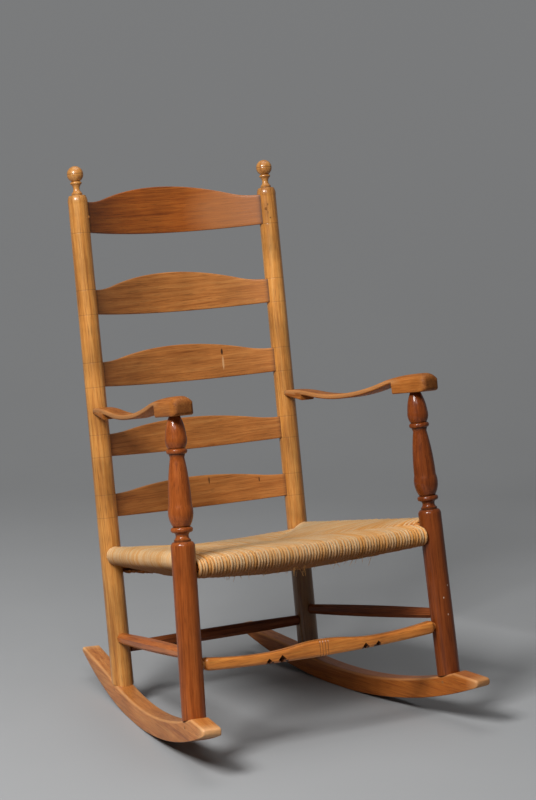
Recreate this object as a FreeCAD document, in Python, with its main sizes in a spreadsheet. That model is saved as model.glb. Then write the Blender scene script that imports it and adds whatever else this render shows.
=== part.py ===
import FreeCAD, Part
import math
import os

import Sketcher
from FreeCAD import Placement, Rotation, Vector

# A ladder back armchair on rockers. The frame is drawn square, with its back feet at height zero, X to the
# right, Y to the rear and Z along the posts. Each piece then leans back by the same angle to stand on the rockers.
DIMENSIONS = {
    # stance of the whole frame, millimetres and degrees
    "lean": 10.5,
    "frame_depth": 435,
    "back_spread": 459,
    "front_spread": 576,
    "splay": 1.85,
    # back posts and their turned finials, whose lengths stack up from the top slat's end
    "back_post_dia": 46,
    "back_post_top_dia": 41,
    "shoulder_drop": 4,
    "shoulder_length": 18,
    "shoulder_round": 26,
    "crown_dia": 35,
    "flare_dia": 23,
    "flare_length": 5,
    "finial_neck_length": 19,
    "finial_neck_round": 12,
    "collar_dia": 22.5,
    "collar_thickness": 4.5,
    "ball_neck_length": 1.5,
    "ball_seat_dia": 17,
    "ball_dia": 34.5,
    # front posts, whose lengths stack up from the side rails
    "leg_dia": 47,
    "leg_top_rise": 27,
    "leg_shoulder_length": 9,
    "leg_shoulder_round": 11,
    "step_dia": 37,
    "fillet_dia": 33,
    "fillet_length": 4,
    "cove_length": 14,
    "cove_round": 8.5,
    "low_ring_dia": 42,
    "ring_thickness": 10,
    "ring_seat_dia": 32,
    "baluster_dia": 44.7,
    "baluster_foot_length": 43,
    "baluster_foot_round": 52,
    "baluster_neck_dia": 28,
    "baluster_taper_length": 90,
    "baluster_taper_round": 520,
    "ring_neck_length": 7,
    "high_ring_dia": 40,
    "urn_dia": 41.2,
    "urn_foot_length": 24,
    "urn_foot_round": 30,
    "urn_taper_length": 38,
    "urn_taper_round": 105,
    "arm_neck_dia": 22.5,
    "arm_tenon_dia": 18,
    "arm_tenon_length": 20,
    # slats, from the top one down, each stacked on the one below by a gap
    "slat_thickness": 8,
    "slat_tenon": 20,
    "slat_sweep_inset": 2.5,
    "slat_swell_share": 0.76,
    "slat_belly": 3.5,
    "top_slat_gap": 120,
    "top_slat_end": 65,
    "top_slat_rise": 32.5,
    "top_slat_bow": 58,
    "second_slat_gap": 100,
    "second_slat_end": 52,
    "second_slat_rise": 31,
    "second_slat_bow": 54,
    "third_slat_gap": 99.5,
    "third_slat_end": 52,
    "third_slat_rise": 24.5,
    "third_slat_bow": 42,
    "fourth_slat_gap": 79,
    "fourth_slat_end": 47,
    "fourth_slat_rise": 18.5,
    "fourth_slat_bow": 34,
    "fifth_slat_height": 346.5,
    "fifth_slat_end": 48,
    "fifth_slat_rise": 16,
    "fifth_slat_bow": 34,
    # rails and stretchers, whose tenons pass each other in the posts with a gap between them
    "rail_dia": 25,
    "rail_taper": 26,
    "rail_shoulder_dia": 18,
    "tenon_dia": 15,
    "tenon_length": 20,
    "front_rail_height": 256,
    "back_rail_height": 248,
    "side_rail_back_gap": 4,
    "side_rail_front_gap": 2,
    "front_stretcher_height": 71,
    "side_stretcher_gap": 8,
    "back_stretcher_gap": 7,
    "stretcher_swell": 24.5,
    "stretcher_end": 20.5,
    "yoke_depth": 24,
    "yoke_end_gap": 4,
    "yoke_end_rise": 13,
    "yoke_scoop_rise": 2,
    "yoke_scoop_half": 128,
    "yoke_middle_rise": 11,
    "yoke_belly": 9,
    "yoke_round": 7,
    # arms, lengths forward of the back post, or off the front post, and heights from the hand block's underside
    "arm_end_height": 28,
    "arm_dip_start": 110,
    "arm_dip_length": 210,
    "arm_dip_height": 10,
    "arm_turn_setback": 77,
    "arm_block_setback": 47,
    "arm_block_height": 38.5,
    "arm_crest_reach": 16,
    "arm_nose_reach": 53,
    "arm_nose_round": 24,
    "arm_crown_drop": 13,
    "arm_crown_lift": 0.5,
    "arm_thickness": 10.5,
    "arm_heel_length": 78,
    "arm_heel_low": 3,
    "arm_heel_rise": 16,
    "arm_back_width": 34,
    "arm_front_width": 46,
    "arm_corner_round": 14,
    "arm_back_tenon_dia": 10,
    # rockers, lengths along each rocker from the back foot, and off the front foot for the nose
    "rocker_radius": 1000,
    "rocker_depth": 40,
    "rocker_width": 40,
    "rocker_touch": 116,
    "rocker_flat": 60,
    "rocker_tail": 220,
    "rocker_tail_start": 40,
    "rocker_tail_depth": 9.5,
    "rocker_nose_reach": 100,
    "rocker_nose_slope_reach": 32,
    "rocker_nose_depth": 14,
    "rocker_nose_round": 8,
    "rocker_edge_round": 5,
    "foot_tenon_dia": 24,
    "foot_tenon_length": 26,
    "foot_blank": 90,
    # rush seat
    "rush_thickness": 6.5,
    "seat_middle_back": 212,
    "seat_middle_half": 41,
    "seat_middle_top": 274,
    "seat_middle_low": 212,
    "seat_rim_inset": 4,
    # wooden pegs
    "peg_dia": 6,
    "peg_proud": 0.6,
    "peg_length": 34,
    "arm_peg_dia": 5,
    # clearances
    "fit": 0.15,
    "rush_gap": 0.3,
}

SIDES = {"left": -1, "right": 1}
SLATS = ("top", "second", "third", "fourth", "fifth")

doc = FreeCAD.newDocument("rocking_chair")
sheet = doc.addObject("Spreadsheet::Sheet", "dims")
for row, (alias, number) in enumerate(DIMENSIONS.items(), start=1):
    sheet.set(f"A{row}", alias)
    sheet.set(f"B{row}", str(number))
    sheet.setAlias(f"B{row}", alias)
doc.recompute()


def measure(expression):
    """Gives the number that an expression in the sheet's names comes to."""
    return float(sheet.evalExpression(expression))


# heights in the square frame, each stacked on the ones below it
def slat_base(slat):
    """Gives the expression for a slat's height, stacked on the slats below it."""
    expression = "dims.fifth_slat_height"
    for above, below in reversed(list(zip(SLATS, SLATS[1:]))):
        if below == slat:
            break
        expression += f" + dims.{below}_slat_end + dims.{above}_slat_gap"
    return f"({expression})"


SHOULDER = f"({slat_base('top')} + dims.top_slat_end - dims.shoulder_drop)"
FRONT_RAIL, BACK_RAIL = "dims.front_rail_height", "dims.back_rail_height"
SIDE_RAIL_BACK = f"({BACK_RAIL} + dims.tenon_dia + dims.side_rail_back_gap)"
SIDE_RAIL_FRONT = f"({FRONT_RAIL} + dims.tenon_dia + dims.side_rail_front_gap)"
SIDE_STRETCHER = "(dims.front_stretcher_height + dims.tenon_dia + dims.side_stretcher_gap)"
BACK_STRETCHER = f"({SIDE_STRETCHER} - dims.tenon_dia - dims.back_stretcher_gap)"
LEG_TOP = f"({SIDE_RAIL_FRONT} + dims.leg_top_rise)"
LEG_STEP = f"({LEG_TOP} + dims.leg_shoulder_length)"
LOW_RING = f"({LEG_STEP} + dims.fillet_length + dims.cove_length)"
BALUSTER = f"({LOW_RING} + dims.ring_thickness + dims.baluster_foot_length)"
BALUSTER_NECK = f"({BALUSTER} + dims.baluster_taper_length)"
HIGH_RING = f"({BALUSTER_NECK} + dims.ring_neck_length)"
URN = f"({HIGH_RING} + dims.ring_thickness + dims.urn_foot_length)"
ARM_SEAT = f"({URN} + dims.urn_taper_length)"
ARM_RUN = "sqrt(dims.frame_depth^2 + ((dims.front_spread - dims.back_spread)/2)^2)"


def bent_edge(begin, end, bend):
    """Gives the arc from begin to end and its first point's index. A bend that starts with a minus is hollow."""
    hollow = bend.startswith("-")
    radius = measure(bend.lstrip("-"))
    chord = end - begin
    across = Vector(-chord.y, chord.x, 0).normalize()
    rise = math.sqrt(max(radius**2 - (chord.Length / 2) ** 2, 0))
    middle = begin + chord / 2 + across * (-rise if hollow else rise)
    first, last = (end, begin) if hollow else (begin, end)
    start_angle = math.atan2(first.y - middle.y, first.x - middle.x)
    end_angle = math.atan2(last.y - middle.y, last.x - middle.x)
    circle = Part.Circle(middle, Vector(0, 0, 1), radius)
    return Part.ArcOfCircle(circle, start_angle, end_angle), (2 if hollow else 1)


def bind(sketch, constraint, expression):
    """Adds a constraint whose size follows an expression."""
    index = sketch.addConstraint(constraint)
    sketch.setExpression(f"Constraints[{index}]", expression)


def draw(body, name, role, *outlines, raised=None):
    """Draws closed outlines on an origin plane of the body.

    A corner is a pair of expressions, and a third one bends the edge that leaves it to that radius.
    """
    sketch = body.newObject("Sketcher::SketchObject", name)
    plane = next(f for f in body.Origin.OriginFeatures if f.Role == role)
    sketch.AttachmentSupport = [(plane, "")]
    sketch.MapMode = "FlatFace"
    if raised:
        sketch.setExpression("AttachmentOffset.Base.z", raised)
    base = 0
    for corners in outlines:
        points = [Vector(measure(corner[0]), measure(corner[1]), 0) for corner in corners]
        firsts = []
        for index, corner in enumerate(corners):
            end = points[(index + 1) % len(points)]
            if len(corner) == 3:
                edge, first = bent_edge(points[index], end, corner[2])
            else:
                edge, first = Part.LineSegment(points[index], end), 1
            sketch.addGeometry(edge)
            firsts.append(first)
        for index, corner in enumerate(corners):
            edge, following = base + index, (index + 1) % len(points)
            sketch.addConstraint(
                Sketcher.Constraint("Coincident", edge, 3 - firsts[index], base + following, firsts[following])
            )
            spot = (-1, 1, edge, firsts[index])
            bind(sketch, Sketcher.Constraint("DistanceX", *spot, points[index].x), corner[0])
            bind(sketch, Sketcher.Constraint("DistanceY", *spot, points[index].y), corner[1])
            if len(corner) == 3:
                radius = corner[2].lstrip("-")
                bind(sketch, Sketcher.Constraint("Radius", edge, measure(radius)), radius)
        base += len(corners)
    return sketch


def new_body(name):
    """Adds an empty body."""
    return doc.addObject("PartDesign::Body", name)


def turn(body, outline):
    """Turns an outline of radii and heights about the body's Z axis."""
    sketch = draw(body, body.Name + "_outline", "XZ_Plane", outline)
    revolution = body.newObject("PartDesign::Revolution", body.Name + "_turning")
    revolution.Profile = sketch
    revolution.ReferenceAxis = (sketch, ["V_Axis"])
    revolution.Angle = 360
    return revolution


def pad(body, sketch, length, symmetric=False, reverse=False):
    """Pads a sketch by an expression's length."""
    feature = body.newObject("PartDesign::Pad", sketch.Name + "_pad")
    feature.Profile = sketch
    feature.setExpression("Length", length)
    feature.SideType = "Symmetric" if symmetric else "One side"
    feature.Reversed = reverse
    return feature


def pocket(body, sketch, length):
    """Cuts a sketch out of the body to both sides, and checks that it removed something."""
    doc.recompute()
    before = body.Shape.Volume
    feature = body.newObject("PartDesign::Pocket", sketch.Name + "_pocket")
    feature.Profile = sketch
    feature.SideType = "Symmetric"
    feature.setExpression("Length", length)
    doc.recompute()
    if not body.Shape.Volume < before:
        raise ValueError(f"{feature.Name} cuts nothing")
    return feature


def round_edges(body, base, radius, wanted):
    """Rounds those edges of a feature that wanted picks."""
    doc.recompute()
    edges = [f"Edge{index}" for index, edge in enumerate(base.Shape.Edges, start=1) if wanted(edge)]
    feature = body.newObject("PartDesign::Fillet", base.Name + "_rounded")
    feature.Base = (base, edges)
    feature.setExpression("Radius", radius)
    return feature


def rod(name, diameter, length, placement):
    """Adds a round bar along the placement's Z axis, whose sizes are expressions."""
    bar = doc.addObject("Part::Cylinder", name)
    bar.setExpression("Radius", f"({diameter})/2")
    bar.setExpression("Height", length)
    bar.Placement = placement
    return bar


def aim(begin, direction):
    """Gives the placement at begin whose Z axis runs along direction."""
    return Placement(begin, Rotation(Vector(0, 0, 1), direction))


def fuse(name, pieces):
    """Joins several shapes into one."""
    joined = doc.addObject("Part::MultiFuse", name)
    joined.Shapes = pieces
    return joined


def carve(name, base, tools):
    """Cuts several tools out of a base."""
    cut = doc.addObject("Part::Cut", name)
    cut.Base = base
    cut.Tool = tools[0] if len(tools) == 1 else fuse(name + "_tools", tools)
    return cut


# axes of the posts in the square frame
LEAN = measure("lean")
SPLAY_SLOPE = "tan(dims.splay)"


def front_reach(height):
    """Gives the expression for the front post's distance from the middle at a height's expression."""
    return f"(dims.front_spread/2 + {SPLAY_SLOPE}*(dims.front_rail_height - ({height})))"


def post_radius(row, height):
    """Gives the expression for a post's radius at a height's expression, since the back posts taper."""
    if row == "front":
        return "(dims.leg_dia/2)"
    slope = f"(dims.back_post_dia - dims.back_post_top_dia)/{SHOULDER}"
    return f"((dims.back_post_dia - {slope}*({height}))/2)"


def on_back_post(side, height):
    """Gives the point of a back post's axis at a height."""
    return Vector(SIDES[side] * measure("back_spread/2"), 0, height)


def on_front_post(side, height):
    """Gives the point of a front post's axis at a height."""
    return Vector(SIDES[side] * measure(front_reach(str(height))), -measure("frame_depth"), height)


def post_rise(side):
    """Gives the direction of a front post, from its foot to the arm."""
    return (on_front_post(side, 1.0) - on_front_post(side, 0.0)).normalize()


# the lean, and the feet where the posts' axes meet the rockers' curved tops
TOP_RADIUS = measure("rocker_radius - rocker_depth")


def rocker_top(along):
    """Gives the height of a rocker's top at a length forward of the back foot."""
    return measure("rocker_radius") - math.sqrt(TOP_RADIUS**2 - (along - measure("rocker_touch")) ** 2)


stance = Placement(Vector(0, 0, rocker_top(0)), Rotation(Vector(1, 0, 0), -LEAN))


def front_foot(side):
    """Gives the point in the square frame where a front post's axis meets its rocker."""
    height = 0.0
    for _ in range(30):
        standing = stance.multVec(on_front_post(side, height))
        run = standing - stance.multVec(on_back_post(side, 0))
        height += rocker_top(math.hypot(run.x, run.y)) - standing.z
    return on_front_post(side, height)


FEET = {side: {"back": on_back_post(side, 0), "front": front_foot(side)} for side in SIDES}


def foot_run(side):
    """Gives the length along a rocker from its back foot to its front foot."""
    run = stance.multVec(FEET[side]["front"]) - stance.multVec(FEET[side]["back"])
    return math.hypot(run.x, run.y)


def rocker_place(side):
    """Gives the placement, standing on the floor, whose X axis runs forward along a rocker."""
    back = stance.multVec(FEET[side]["back"])
    run = stance.multVec(FEET[side]["front"]) - back
    turned = math.degrees(math.atan2(run.y, run.x))
    return Placement(Vector(back.x, back.y, 0), Rotation(Vector(0, 0, 1), turned))


# turned posts
def back_post_blank(side):
    """Turns a back post with its ball finial."""
    body = new_body(side + "_back_post_blank")
    crown = f"({SHOULDER} + dims.shoulder_length)"
    flare = f"({crown} + dims.flare_length)"
    collar = f"({flare} + dims.finial_neck_length)"
    ball_seat = f"({collar} + dims.collar_thickness + dims.ball_neck_length)"
    ball = f"({ball_seat} + sqrt((dims.ball_dia/2)^2 - (dims.ball_seat_dia/2)^2))"
    turn(body, [
        ("0", "-dims.foot_blank"),
        ("dims.back_post_dia/2", "-dims.foot_blank"),
        ("dims.back_post_dia/2", "0"),
        ("dims.back_post_top_dia/2", SHOULDER, "dims.shoulder_round"),
        ("dims.crown_dia/2", crown),
        ("dims.flare_dia/2", crown),
        ("dims.flare_dia/2", flare, "-dims.finial_neck_round"),
        ("dims.collar_dia/2", collar, "dims.collar_thickness*0.7"),
        ("dims.collar_dia/2", f"{collar} + dims.collar_thickness"),
        ("dims.ball_seat_dia/2", ball_seat, "dims.ball_dia/2"),
        ("0", f"{ball} + dims.ball_dia/2"),
    ])
    body.Placement = Placement(on_back_post(side, 0), Rotation())
    return body


def ring(diameter, low):
    """Gives the corners of a turned ring: its seat below, its rounded rim and its seat above."""
    high = f"({low} + dims.ring_thickness)"
    rim = f"dims.{diameter}/2 - dims.ring_thickness/4"
    return [
        ("dims.ring_seat_dia/2", low),
        (rim, low, "dims.ring_thickness*0.56"),
        (rim, high),
        ("dims.ring_seat_dia/2", high),
    ]


def front_post_blank(side):
    """Turns a front post: the leg, a cove, two rings, a baluster, an urn and the tenon under the arm."""
    body = new_body(side + "_front_post_blank")
    low_ring = ring("low_ring_dia", LOW_RING)
    high_ring = ring("high_ring_dia", HIGH_RING)
    tenon_top = f"({ARM_SEAT} + dims.arm_tenon_length)"
    low_ring[-1] = (*low_ring[-1], "dims.baluster_foot_round")
    high_ring[-1] = (*high_ring[-1], "dims.urn_foot_round")
    turn(body, [
        ("0", "-dims.foot_blank"),
        ("dims.leg_dia/2", "-dims.foot_blank"),
        ("dims.leg_dia/2", LEG_TOP, "dims.leg_shoulder_round"),
        ("dims.step_dia/2", LEG_STEP),
        ("dims.fillet_dia/2", LEG_STEP),
        ("dims.fillet_dia/2", f"{LEG_STEP} + dims.fillet_length", "-dims.cove_round"),
        *low_ring,
        ("dims.baluster_dia/2", BALUSTER, "dims.baluster_taper_round"),
        ("dims.baluster_neck_dia/2", BALUSTER_NECK),
        *high_ring,
        ("dims.urn_dia/2", URN, "dims.urn_taper_round"),
        ("dims.arm_neck_dia/2", ARM_SEAT),
        ("dims.arm_tenon_dia/2", ARM_SEAT),
        ("dims.arm_tenon_dia/2", tenon_top),
        ("0", tenon_top),
    ])
    body.Placement = aim(on_front_post(side, 0), post_rise(side))
    return body


# slats
def slat_blank(name, slat, grow):
    """Pads a slat's bowed band from below its belly to its crest, or its mortises where grow widens it."""
    body = new_body(name)
    clear = "((dims.back_spread - dims.back_post_dia)/2)"
    bow = f"dims.{slat}_slat_bow"
    radius = f"(({clear}^2 + {bow}^2)/(2*{bow}))"
    reach = f"({clear} + dims.slat_tenon + {grow})"
    inner = f"({radius} - dims.slat_thickness/2 - {grow})"
    outer = f"({radius} + dims.slat_thickness/2 + {grow})"

    def depth(arc):
        return f"{bow} - {radius} + sqrt({arc}^2 - {reach}^2)"

    band = draw(body, name + "_band", "XY_Plane", [
        (f"-{reach}", depth(inner), f"-{inner}"),
        (reach, depth(inner)),
        (reach, depth(outer), outer),
        (f"-{reach}", depth(outer)),
    ], raised=f"-{grow}" if grow != "0" else "-dims.slat_belly")
    end = f"dims.{slat}_slat_end"
    height = f"{end} + 2*{grow}" if grow != "0" else f"{end} + dims.{slat}_slat_rise + dims.slat_belly"
    pad(body, band, height)
    body.Placement = Placement(Vector(0, 0, measure(slat_base(slat))), Rotation())
    return body


def slat_piece(slat):
    """Shapes one slat: a bowed board with a swept crest and a gently bellied lower edge."""
    body = slat_blank(f"{slat}_slat_board", slat, "0")
    end, rise = f"dims.{slat}_slat_end", f"dims.{slat}_slat_rise"
    clear = "((dims.back_spread - dims.back_post_dia)/2)"
    sweep = f"({clear} - dims.slat_sweep_inset)"
    swell = f"(dims.slat_swell_share*{sweep})"
    spread = f"(({sweep}^2 + {rise}^2)/(2*{rise}*{sweep}))"
    hump, hollow = f"({swell}*{spread})", f"(({sweep} - {swell})*{spread})"
    turn_height = f"{end} + {rise} - {hump} + sqrt({hump}^2 - {swell}^2)"
    outside = "dims.back_spread/2 + dims.back_post_dia/2"
    through = f"4*(dims.{slat}_slat_bow + dims.slat_thickness)"
    crest = draw(body, f"{slat}_crest", "XZ_Plane", [
        (f"-({outside})", end),
        (f"-{sweep}", end, hollow),
        (f"-{swell}", turn_height, f"-{hump}"),
        (swell, turn_height, hollow),
        (sweep, end),
        (outside, end),
        (outside, f"{end} + 2*{rise}"),
        (f"-({outside})", f"{end} + 2*{rise}"),
    ])
    pocket(body, crest, through)
    belly = draw(body, f"{slat}_belly", "XZ_Plane", [
        (f"-({outside})", "-2*dims.slat_belly"),
        (outside, "-2*dims.slat_belly"),
        (outside, "0"),
        (clear, "0", f"-(({clear}^2 + dims.slat_belly^2)/(2*dims.slat_belly))"),
        (f"-{clear}", "0"),
        (f"-({outside})", "0"),
    ])
    pocket(body, belly, through)
    return body


# rails and stretchers between the posts' axes
def stick(name, begin, end, outline):
    """Turns a stick whose Z axis runs from one post's axis to another's."""
    body = new_body(name)
    turn(body, outline)
    body.Placement = aim(begin, end - begin)
    return body


def rail_outline(length, begin, end_radius):
    """Gives a seat rail's outline: a tenon, a tapered shoulder and the round rail, and the same back again."""
    end = f"({length}) - {end_radius}"
    return [
        ("0", f"{begin} - dims.tenon_length"),
        ("dims.tenon_dia/2", f"{begin} - dims.tenon_length"),
        ("dims.tenon_dia/2", f"{begin} + dims.fit"),
        ("dims.rail_shoulder_dia/2", f"{begin} + dims.fit"),
        ("dims.rail_dia/2", f"{begin} + dims.rail_taper"),
        ("dims.rail_dia/2", f"{end} - dims.rail_taper"),
        ("dims.rail_shoulder_dia/2", f"{end} - dims.fit"),
        ("dims.tenon_dia/2", f"{end} - dims.fit"),
        ("dims.tenon_dia/2", f"{end} + dims.tenon_length"),
        ("0", f"{end} + dims.tenon_length"),
    ]


def octagon(across):
    """Gives the corners of a regular octagon of a width across its flats."""
    far = f"({across})/2"
    near = f"({far}*tan(22.5))"
    return [
        (far, f"-{near}"), (far, near), (near, far), (f"-{near}", far),
        (f"-{far}", near), (f"-{far}", f"-{near}"), (f"-{near}", f"-{far}"), (near, f"-{far}"),
    ]


def shaved_stick(name, begin, end, length, begin_radius, end_radius):
    """Lofts an eight-sided stretcher that swells to its middle, with a round tenon through each end."""
    body = new_body(name)
    start, finish = f"{begin_radius} + dims.fit", f"({length}) - {end_radius} - dims.fit"
    tenon_start = f"{begin_radius} - dims.tenon_length"
    tenon_finish = f"({length}) - {end_radius} + dims.tenon_length"
    turn(body, [
        ("0", tenon_start),
        ("dims.tenon_dia/2", tenon_start),
        ("dims.tenon_dia/2", tenon_finish),
        ("0", tenon_finish),
    ])
    stations = (("start", start, "end"), ("middle", f"({length})/2", "swell"), ("finish", finish, "end"))
    sections = [
        draw(body, f"{name}_{place}", "XY_Plane", octagon(f"dims.stretcher_{width}"), raised=height)
        for place, height, width in stations
    ]
    loft = body.newObject("PartDesign::AdditiveLoft", name + "_shaved")
    loft.Profile = sections[0]
    loft.Sections = sections[1:]
    loft.Ruled = False
    body.Placement = aim(begin, end - begin)
    return body


def yoke_stretcher():
    """Carves the front stretcher: two scoops in its upper edge, a swelled middle, and round tenons."""
    body = new_body("front_stretcher_yoke")
    half = front_reach("dims.front_stretcher_height")
    end = f"({half} - dims.leg_dia/2 - dims.yoke_end_gap)"
    scoop, low, high = "dims.yoke_scoop_half", "dims.yoke_scoop_rise", "dims.yoke_middle_rise"
    top = "dims.yoke_end_rise"
    outer_run, outer_rise = f"({end} - {scoop})", f"({top} - {low})"
    outer_round = f"(({outer_run}^2 + {outer_rise}^2)/(2*{outer_rise}))"
    inner_rise = f"({high} - {low})"
    inner_round = f"(({scoop}^2 + {inner_rise}^2)/(4*{inner_rise}))"
    turn_height = f"({low} + {inner_rise}/2)"
    belly_round = f"(({end}^2 + dims.yoke_belly^2)/(2*dims.yoke_belly))"
    outline = draw(body, "yoke_outline", "XZ_Plane", [
        (f"-{end}", f"-{top}", belly_round),
        (end, f"-{top}"),
        (end, top, f"-{outer_round}"),
        (scoop, low, f"-{inner_round}"),
        (f"{scoop}/2", turn_height, inner_round),
        (f"-{scoop}/2", turn_height, f"-{inner_round}"),
        (f"-{scoop}", low, f"-{outer_round}"),
        (f"-{end}", top),
    ])
    blank = pad(body, outline, "dims.yoke_depth", symmetric=True)

    def along(edge):
        """Picks the long edges of the front and the back."""
        return edge.BoundBox.XLength > measure("yoke_depth")

    round_edges(body, blank, "dims.yoke_round", along)
    for side, sign in SIDES.items():
        circle = tenon_circle(body, side + "_yoke_tenon", f"{sign}*({end} - dims.tenon_length)")
        pad(body, circle, "dims.yoke_end_gap + 2*dims.tenon_length", reverse=sign < 0)
    body.Placement = Placement(
        Vector(0, -measure("frame_depth"), measure("front_stretcher_height")), Rotation()
    )
    return body


def tenon_circle(body, name, raised):
    """Draws a tenon's circle across the body's X axis at an offset."""
    sketch = body.newObject("Sketcher::SketchObject", name)
    plane = next(f for f in body.Origin.OriginFeatures if f.Role == "YZ_Plane")
    sketch.AttachmentSupport = [(plane, "")]
    sketch.MapMode = "FlatFace"
    sketch.setExpression("AttachmentOffset.Base.z", raised)
    radius = measure("tenon_dia/2")
    sketch.addGeometry(Part.Circle(Vector(0, 0, 0), Vector(0, 0, 1), radius))
    sketch.addConstraint(Sketcher.Constraint("Coincident", 0, 3, -1, 1))
    bind(sketch, Sketcher.Constraint("Radius", 0, radius), "dims.tenon_dia/2")
    return sketch


# arms
def arm_axis(side):
    """Gives the arm's start on the back post's axis and its direction to the front post's axis."""
    height = measure(ARM_SEAT)
    begin, end = on_back_post(side, height), on_front_post(side, height)
    return begin, (end - begin).normalize()


def arm_blank(side):
    """Cuts an arm from a plank: a dipped S from the heel at the back post to the thick, crowned hand block."""
    body = new_body(side + "_arm_plank")
    start, end_height = "dims.back_post_dia/2 - dims.fit*2", "dims.arm_end_height"
    dip, dip_height = "dims.arm_dip_length", "dims.arm_dip_height"
    turn_one, turn_two = "dims.arm_dip_start", f"({ARM_RUN} - dims.arm_turn_setback)"
    crest, block_height = f"({ARM_RUN} + dims.arm_crest_reach)", "dims.arm_block_height"
    block_start = f"({ARM_RUN} - dims.arm_block_setback)"

    def ogee(run, rise, share):
        """Gives the radius of an ogee's part that spans a share of its run."""
        return f"(({share})*(({run})^2 + ({rise})^2)/(2*({rise})*({run})))"

    fall_run, fall = f"({dip} - ({start}))", f"({end_height} - {dip_height})"
    lift_run, lift = f"({crest} - {dip})", f"({block_height} - {dip_height})"
    fall_top = ogee(fall_run, fall, f"{turn_one} - ({start})")
    fall_low = ogee(fall_run, fall, f"{dip} - {turn_one}")
    lift_low = ogee(lift_run, lift, f"{turn_two} - {dip}")
    lift_top = ogee(lift_run, lift, f"{crest} - {turn_two}")
    first_turn = f"({dip_height} + {fall_low} - sqrt({fall_low}^2 - ({dip} - {turn_one})^2))"
    second_turn = f"({dip_height} + {lift_low} - sqrt({lift_low}^2 - ({turn_two} - {dip})^2))"
    under = "dims.arm_thickness"
    heel_top = f"({end_height} - {fall_top} + sqrt({fall_top}^2 - (dims.arm_heel_length - ({start}))^2))"
    block_back = f"({block_height} - {lift_top} + sqrt({lift_top}^2 - ({crest} - {block_start})^2))"
    nose, nose_round = f"({ARM_RUN} + dims.arm_nose_reach)", "dims.arm_nose_round"
    outline = draw(body, side + "_arm_outline", "XZ_Plane", [
        (start, "dims.arm_heel_rise"),
        ("dims.arm_heel_length", "dims.arm_heel_low"),
        ("dims.arm_heel_length", f"{heel_top} - {under}", f"-{fall_top}"),
        (turn_one, f"{first_turn} - {under}", fall_low),
        (dip, f"{dip_height} - {under}", lift_low),
        (turn_two, f"{second_turn} - {under}", f"-{lift_top}"),
        (block_start, f"{block_back} - {under}"),
        (block_start, "0"),
        (f"{nose} - {nose_round}*0.6", "0", nose_round),
        (nose, f"{block_height}/2", nose_round),
        (f"{nose} - {nose_round}*0.8", block_height),
        (crest, block_height, lift_top),
        (turn_two, second_turn, f"-{lift_low}"),
        (dip, dip_height, f"-{fall_low}"),
        (turn_one, first_turn, fall_top),
        (start, end_height),
    ])
    pad(body, outline, "dims.arm_front_width", symmetric=True)
    wide, narrow, corner = "dims.arm_front_width/2", "dims.arm_back_width/2", "dims.arm_corner_round"
    waste = "(dims.arm_front_width)"
    plan = draw(
        body,
        side + "_arm_plan",
        "XY_Plane",
        [("0", f"-{waste}"), (f"{nose} + {waste}", f"-{waste}"), (f"{nose} + {waste}", waste), ("0", waste)],
        [
            ("1", f"-{narrow}"),
            (block_start, f"-{wide}"),
            (f"{nose} - {corner}", f"-{wide}", corner),
            (nose, f"-{wide} + {corner}"),
            (nose, f"{wide} - {corner}", corner),
            (f"{nose} - {corner}", wide),
            (block_start, wide),
            ("1", narrow),
        ],
    )
    pocket(body, plan, "4*dims.arm_block_height")
    crown_round = f"((({wide})^2 + dims.arm_crown_drop^2)/(2*dims.arm_crown_drop))"
    rim = f"({wide} + 4*dims.fit)"
    rim_height = f"{block_height} + dims.arm_crown_lift - {crown_round} + sqrt({crown_round}^2 - {rim}^2)"
    crown = draw(body, side + "_arm_crown", "YZ_Plane", [
        (f"-{rim}", rim_height, f"-{crown_round}"),
        (rim, rim_height),
        (rim, f"2*{block_height}"),
        (f"-{rim}", f"2*{block_height}"),
    ])
    pocket(body, crown, f"3*{nose}")
    begin, direction = arm_axis(side)
    body.Placement = Placement(begin, Rotation(Vector(1, 0, 0), direction))
    return body


# rockers
def rocker_outline(name, body, deep):
    """Draws a rocker from the side, or with deep set the waste under its top line that trims the posts."""
    radius, touch = "dims.rocker_radius", "dims.rocker_touch"
    top = "(dims.rocker_radius - dims.rocker_depth)"
    flat = "dims.rocker_flat/2"
    floor_line = f"({radius} - sqrt({radius}^2 - ({flat})^2))"

    def low(along):
        return f"({radius} - {floor_line} - sqrt({radius}^2 - ({along} - {touch})^2))"

    def high(along):
        return f"({radius} - sqrt({top}^2 - ({along} - {touch})^2))"

    tail, tail_start = "(-dims.rocker_tail)", "(-dims.rocker_tail_start)"
    front = f"{foot_run('right'):.6f}"
    nose, nose_start = f"({front} + dims.rocker_nose_reach)", f"({front} + dims.rocker_nose_slope_reach)"
    if deep:
        return draw(body, name, "XZ_Plane", [
            (tail, "-dims.rocker_radius"),
            (nose, "-dims.rocker_radius"),
            (nose, high(nose), f"-{top}"),
            (tail, high(tail)),
        ])
    nose_round = "dims.rocker_nose_round"
    return draw(body, name, "XZ_Plane", [
        (tail, low(tail), radius),
        (f"{touch} - {flat}", "0"),
        (f"{touch} + {flat}", "0", radius),
        (nose, low(nose), nose_round),
        (nose, f"{low(nose)} + dims.rocker_nose_depth"),
        (nose_start, high(nose_start), f"-{top}"),
        (tail_start, high(tail_start)),
        (tail, f"{low(tail)} + dims.rocker_tail_depth"),
    ])


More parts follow.
